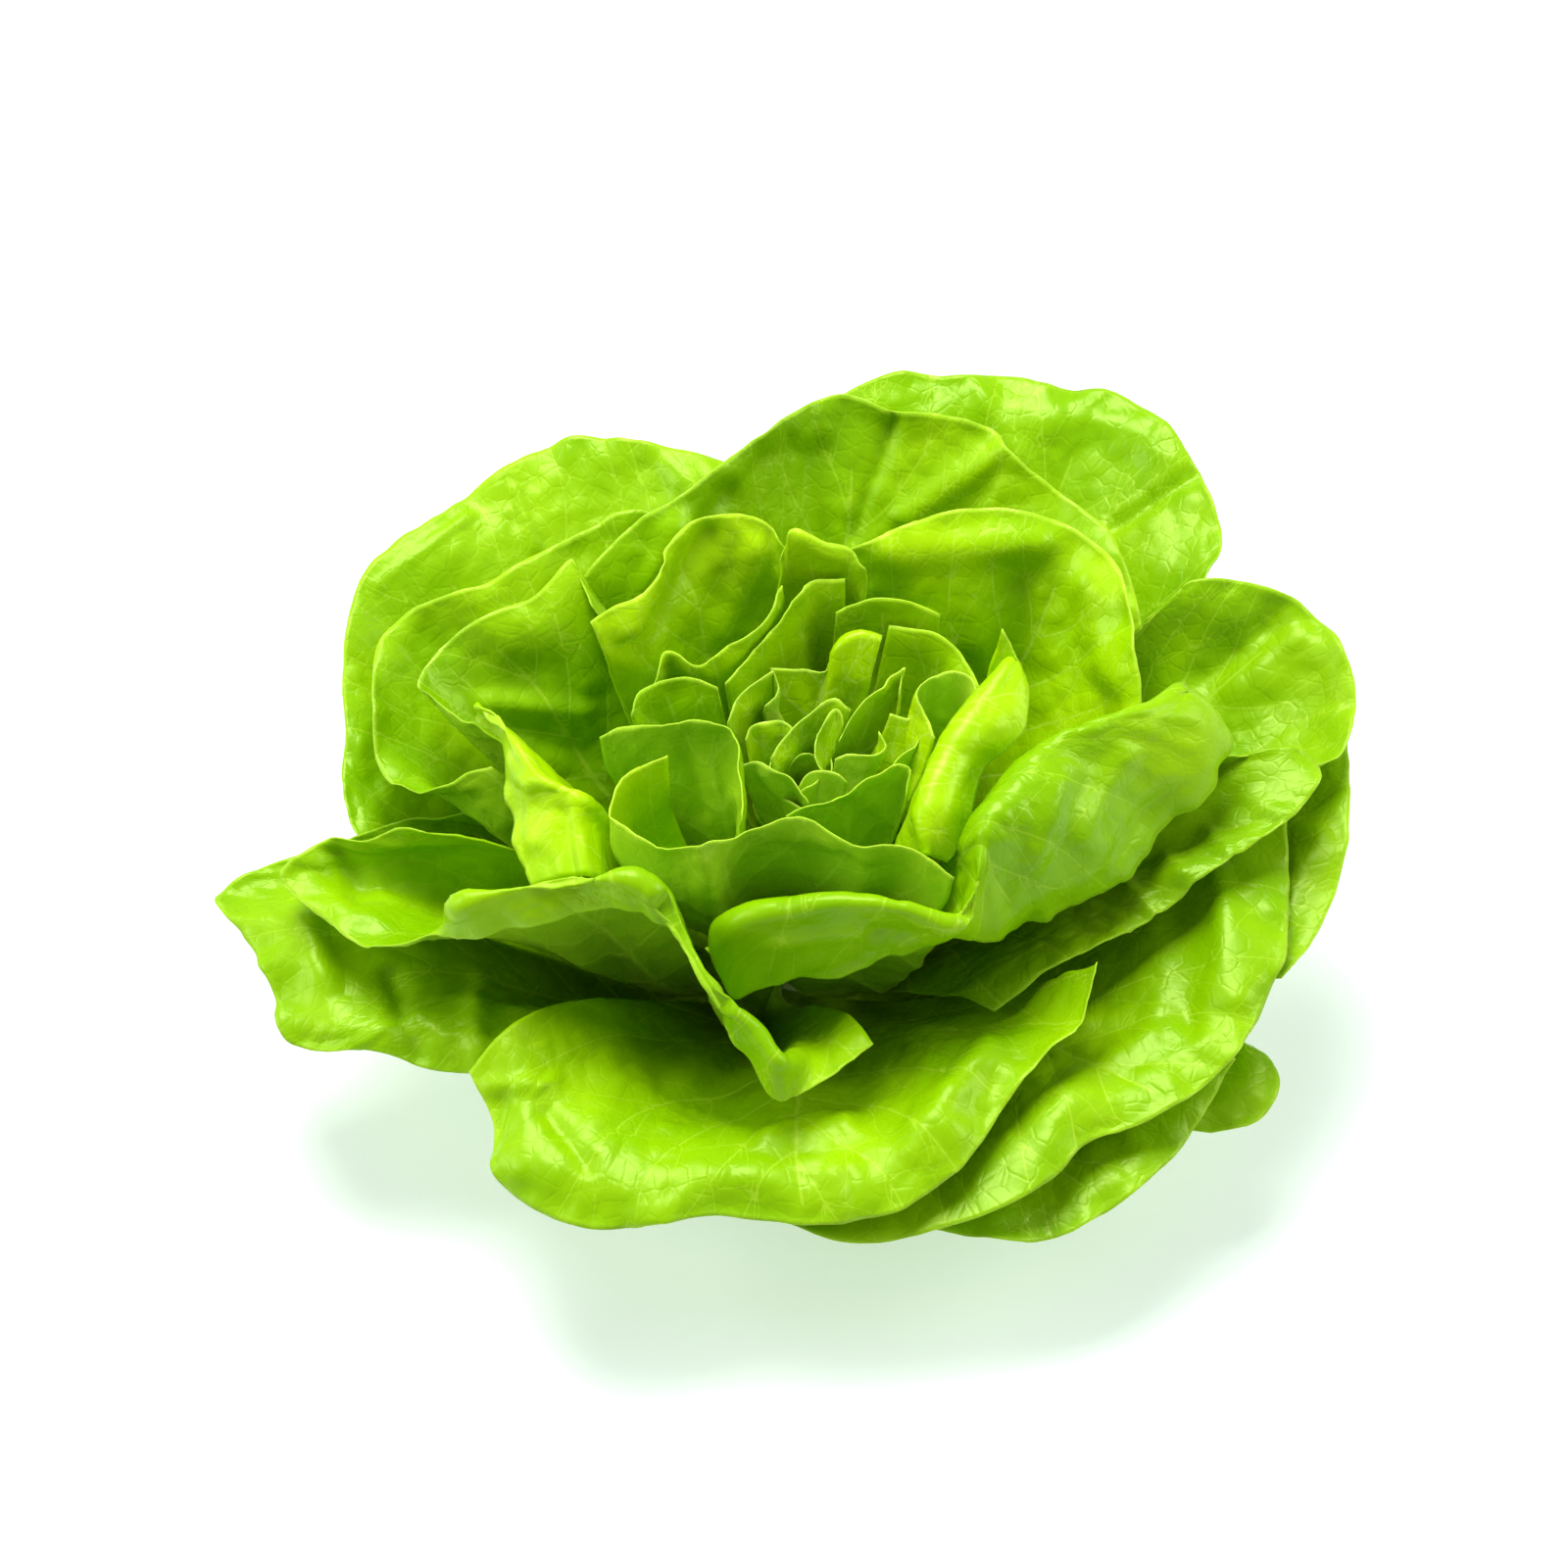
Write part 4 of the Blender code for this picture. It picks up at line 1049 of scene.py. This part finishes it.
def product(tree, source, other):
    """The source times a plain number or another socket."""
    plain = isinstance(other, float)
    values = {1: other} if plain else {}
    links = {0: source} if plain else {0: source, 1: other}
    return add_node(tree, "ShaderNodeMath", {"operation": "MULTIPLY"}, values, links).outputs["Value"]


def tinted(tree, colour, share, code, blend="MIX"):
    """The colour with a share of a fixed colour mixed in."""
    settings = {"data_type": "RGBA", "blend_type": blend}
    links = {"Factor": share, "A": colour}
    return add_node(tree, "ShaderNodeMix", settings, {"B": linear(code)}, links).outputs["Result"]


def bumped(tree, height, strength, links):
    return add_node(tree, "ShaderNodeBump", {}, strength, {"Height": height, **links}).outputs["Normal"]


def new_material(name):
    """A material with its node tree and its shader."""
    material = bpy.data.materials.new(name)
    material.use_nodes = True
    return material, material.node_tree, material.node_tree.nodes["Principled BSDF"]


def leaf_tissue(slot, looks):
    """Lettuce blade: thin wet tissue under a clear wax, so it shines softly and lets light through."""
    fresh, deep, pale = LEAF_COLOURS[slot]
    material, tree, shader = new_material(slot + "_tissue")
    spot = add_node(tree, "ShaderNodeTexCoord")
    out = attribute(tree, "out")
    back = attribute(tree, "back")
    tone = noise_at(tree, spot, TONE_SCALE, 3.0)

    greens = {"A": linear(deep), "B": linear(fresh)}
    mottle = {"Factor": ramp(tree, tone, MOTTLE_SPAN)}
    colour = add_node(tree, "ShaderNodeMix", {"data_type": "RGBA"}, greens, mottle).outputs["Result"]
    root_side = ramp(tree, out, ROOT_SPAN, (ROOT_SHARE, 0.0))
    colour = tinted(tree, colour, product(tree, root_side, back), pale)
    # Painted shade: the blade is darkened towards its root, where shade falls deep inside the head; this is
    # not the leaf's own colour
    painted_shade = ramp(tree, out, PAINTED_SHADE_SPAN, (PAINTED_SHADE_SHARE, 0.0), "SMOOTHSTEP")
    colour = tinted(tree, colour, painted_shade, PAINTED_SHADE_TINT, "MULTIPLY")
    beside = {0: attribute(tree, "vein_side")}
    off = add_node(tree, "ShaderNodeMath", {"operation": "ABSOLUTE"}, {}, beside).outputs["Value"]
    line = ramp(tree, off, VEIN_LINE_SPAN, (VEIN_SHARE, 0.0), "SMOOTHSTEP")
    close = ramp(tree, attribute(tree, "vein_near"), VEIN_NEAR_SPAN, (1.0, 0.0), "SMOOTHSTEP")
    colour = tinted(tree, colour, product(tree, line, close), pale)
    colour = tinted(tree, colour, product(tree, attribute(tree, "rim"), RIM_SHARE), pale)
    colour = tinted(tree, colour, product(tree, back, UNDER_SHARE), pale)
    tree.links.new(colour, shader.inputs["Base Color"])

    cells = {"Vector": spot.outputs["UV"]}
    edges = {"feature": "DISTANCE_TO_EDGE"}
    net = add_node(tree, "ShaderNodeTexVoronoi", edges, {"Scale": 1.0 / NET_CELL}, cells)
    lumps = bumped(tree, ramp(tree, net.outputs["Distance"], NET_EDGE_SPAN), NET_BUMP, {})
    skin = bumped(tree, noise_at(tree, spot, 1.0 / GRAIN, 2.0), GRAIN_BUMP, {"Normal": lumps})
    tree.links.new(skin, shader.inputs["Normal"])
    tree.links.new(ramp(tree, tone, GLOSS_SPAN, GLOSS_ROUGHNESS), shader.inputs["Roughness"])
    shader.inputs["Subsurface Weight"].default_value = looks.glow
    for key, value in WAX.items():
        shader.inputs[key].default_value = value
    return material


def metres(name, description, default):
    return bpy.props.FloatProperty(
        name=name, description=description, default=default, unit="LENGTH"
    )


class LeafLooks(bpy.types.PropertyGroup):
    blade: metres("Blade", "Thickness of the leaf blade", 0.0006)
    pucker: metres("Puckers", "Height of the blade between its veins", 0.0011)
    wave: metres("Waves", "Height of the broad waves of the blade", 0.0022)
    ruffle: metres("Ruffle", "Height of the waves at the rim", 0.0015)
    flare: metres("Flare", "How far the blade swells inwards below the rim", 0.0022)
    vein_depth: metres("Vein depth", "Depth of the veins in the upper face", 0.00035)
    cell: metres("Grid step", "Spacing of the points of a blade", 0.00115)
    glow: bpy.props.FloatProperty(
        name="Glow", description="Share of light that passes into the tissue", default=0.2,
        min=0.0, max=1.0, subtype="FACTOR",
    )


class StageLooks(bpy.types.PropertyGroup):
    distance: metres("Distance", "Distance from camera to the head", VIEW_DISTANCE * MM)
    focal: bpy.props.FloatProperty(
        name="Focal length", description="Focal length of the camera",
        default=VIEW_FOCAL * SENSOR_WIDTH / (2.0 * VIEW_MIDDLE),
    )
    elevation: bpy.props.FloatProperty(
        name="Elevation", description="Angle of the camera above the floor",
        default=VIEW_ELEVATION, subtype="ANGLE",
    )


class LETTUCE_OT_leaves(bpy.types.Operator):
    """Builds the large leaves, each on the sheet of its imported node"""

    bl_idname = "lettuce.leaves"
    bl_label = "Large leaves"

    def execute(self, context):
        looks = context.scene.leaf_looks
        sheets = SHEETS["all"] = bend_clear(leaf_sheets())
        rooms = room_beside(sheets)
        tissues = {slot: leaf_tissue(slot, looks) for slot in ("outer_leaf", "inner_leaf")}
        slots = {part["node"]: part["material_slot"] for part in frame["record"]["subparts"]}
        step = looks.cell * MM_A_METRE
        for number, (name, *_) in enumerate(LEAVES):
            mesh = fine_leaf(name, sheets[number], rooms[number], number, step, looks)
            add_piece(name + "_blade", mesh, tissues[slots[name]], name)
        return {"FINISHED"}


class LETTUCE_OT_heart(bpy.types.Operator):
    """Builds the heart: its little leaves and the closed bud that they grow from"""

    bl_idname = "lettuce.heart"
    bl_label = "Heart"

    def execute(self, context):
        looks = context.scene.leaf_looks
        sheets = SHEETS["all"]
        step = looks.cell * MM_A_METRE * LITTLE_STEP_SHARE
        joined = bmesh.new()
        for number in range(len(LEAVES), len(sheets)):
            room = np.full(sheets[number].shape[:2], LITTLE_ROOM)
            little = number - len(LEAVES)
            name = LITTLE_LEAVES[little][0] if little < len(LITTLE_LEAVES) else "bud"
            mesh = fine_leaf(name, sheets[number], room, number, step, looks)
            joined.from_mesh(mesh)
            bpy.data.meshes.remove(mesh)
        core = bmesh.ops.create_icosphere(joined, subdivisions=4, radius=1.0)["verts"]
        for point in core:
            share = (point.co.z + 1.0) / 2.0
            width = HEART_CORE_RADIUS * (1.0 - HEART_CORE_TAPER * share)
            height = HEART_BASE + HEART_CORE_HEIGHT * share
            point.co = Vector((point.co.x * width, point.co.y * width, height)) * MM
        mesh = mesh_from(joined, "heart_leaves")
        add_piece("heart_leaves", mesh, leaf_tissue("heart_leaf", looks), "heart")
        return {"FINISHED"}


class LETTUCE_OT_stem(bpy.types.Operator):
    """Builds the cut stump with its moist cut face"""

    bl_idname = "lettuce.stem"
    bl_label = "Cut stem"

    def execute(self, context):
        profile = [(0.0, 0.0), (STEM_RADIUS - STEM_EDGE, 0.0), (STEM_RADIUS, STEM_EDGE)]
        for height in np.linspace(STEM_WAIST_HEIGHT, STEM_HEIGHT - STEM_CROWN, STEM_RINGS * 4):
            profile.append((stem_radius(height), height))
        profile += [(STEM_TOP_RADIUS - STEM_CROWN, STEM_HEIGHT), (0.0, STEM_HEIGHT)]
        form = bmesh.new()
        points = [form.verts.new((r * MM, 0.0, z * MM)) for r, z in profile]
        lines = [form.edges.new(pair) for pair in zip(points, points[1:])]
        bmesh.ops.spin(
            form, geom=points + lines, axis=(0, 0, 1), cent=(0, 0, 0),
            angle=2 * math.pi, steps=STEM_SIDES * 4, use_merge=True,
        )
        bmesh.ops.remove_doubles(form, verts=form.verts, dist=1e-6)
        bmesh.ops.recalc_face_normals(form, faces=form.faces)
        add_piece("cut_stem", mesh_from(form, "cut_stem"), stem_tissue(), "stem")
        return {"FINISHED"}


def stem_tissue():
    """Cut lettuce stem: firm watery flesh, pale green, matte with a moist sheen."""
    material, tree, shader = new_material("cut_stem_flesh")
    spot = add_node(tree, "ShaderNodeTexCoord")
    paler = {"A": linear("C9D98C"), "B": linear("EEF2CB")}
    tone = {"Factor": noise_at(tree, spot, 220.0, 4.0)}
    flesh = add_node(tree, "ShaderNodeMix", {"data_type": "RGBA"}, paler, tone)
    tree.links.new(flesh.outputs["Result"], shader.inputs["Base Color"])
    shader.inputs["Roughness"].default_value = 0.4
    return material


def add_piece(name, mesh, material, node):
    mesh.materials.append(material)
    piece = bpy.data.objects.new(name, mesh)
    bpy.context.scene.collection.objects.link(piece)
    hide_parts(node)
    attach(piece, "root")
    return piece


class LETTUCE_OT_stage(bpy.types.Operator):
    """Sets the pale floor, the soft studio light and the camera"""

    bl_idname = "lettuce.stage"
    bl_label = "Stage"

    def execute(self, context):
        looks = context.scene.stage_looks
        scene = context.scene
        scene.view_settings.view_transform = "Standard"
        form = bmesh.new()
        bmesh.ops.create_grid(form, x_segments=1, y_segments=1, size=FLOOR_HALF_SIZE)
        mesh = mesh_from(form, "pale_floor")
        paper, _, shader = new_material("pale_floor_paper")
        shader.inputs["Base Color"].default_value = linear(FLOOR_COLOUR)
        shader.inputs["Emission Color"].default_value = linear(FLOOR_GLOW)
        shader.inputs["Emission Strength"].default_value = FLOOR_GLOW_STRENGTH
        shader.inputs["Roughness"].default_value = FLOOR_ROUGHNESS
        mesh.materials.append(paper)
        floor = bpy.data.objects.new("pale_floor", mesh)
        scene.collection.objects.link(floor)
        world = bpy.data.worlds.new("studio")
        world.use_nodes = True
        world.node_tree.nodes["Background"].inputs["Color"].default_value = (1.0, 1.0, 1.0, 1.0)
        world.node_tree.nodes["Background"].inputs["Strength"].default_value = WORLD_STRENGTH
        scene.world = world
        for light in LIGHTS:
            self.soft_light(scene, *light)
        data = bpy.data.cameras.new("photo_camera")
        data.lens = looks.focal
        data.sensor_width = SENSOR_WIDTH
        camera = bpy.data.objects.new("photo_camera", data)
        aim = Vector(VIEW_AIM) * MM
        back = Vector((0.0, -math.cos(looks.elevation), math.sin(looks.elevation)))
        camera.location = aim + back * looks.distance
        camera.rotation_euler = (math.pi / 2.0 - looks.elevation, 0.0, 0.0)
        scene.collection.objects.link(camera)
        scene.camera = camera
        return {"FINISHED"}

    def soft_light(self, scene, name, place, size, power):
        data = bpy.data.lights.new(name, "AREA")
        data.size = size
        data.energy = power
        light = bpy.data.objects.new(name, data)
        light.location = place
        aim = Vector(VIEW_AIM) * MM - Vector(place)
        light.rotation_euler = aim.to_track_quat("-Z", "Y").to_euler()
        scene.collection.objects.link(light)


class LETTUCE_PT_panel(bpy.types.Panel):
    """Lists the lettuce's sizes and the steps that build it"""

    bl_idname = "LETTUCE_PT_panel"
    bl_label = "Butterhead lettuce"
    bl_space_type = "VIEW_3D"
    bl_region_type = "UI"
    bl_category = "Lettuce"

    def draw(self, context):
        for group in (context.scene.leaf_looks, context.scene.stage_looks):
            for key in group.bl_rna.properties.keys():
                if key not in ("rna_type", "name"):
                    self.layout.prop(group, key)
        for step in STEPS:
            self.layout.operator(step.bl_idname)


STEPS = (LETTUCE_OT_stem, LETTUCE_OT_leaves, LETTUCE_OT_heart, LETTUCE_OT_stage)
CLASSES = (LeafLooks, StageLooks) + STEPS + (LETTUCE_PT_panel,)


def register():
    for each in CLASSES:
        bpy.utils.register_class(each)
    bpy.types.Scene.leaf_looks = bpy.props.PointerProperty(type=LeafLooks)
    bpy.types.Scene.stage_looks = bpy.props.PointerProperty(type=StageLooks)


def unregister():
    del bpy.types.Scene.stage_looks
    del bpy.types.Scene.leaf_looks
    for each in reversed(CLASSES):
        bpy.utils.unregister_class(each)


def main():
    register()
    bpy.ops.lettuce.stem()
    bpy.ops.lettuce.leaves()
    bpy.ops.lettuce.heart()
    bpy.ops.lettuce.stage()


if __name__ == "__main__":
    main()
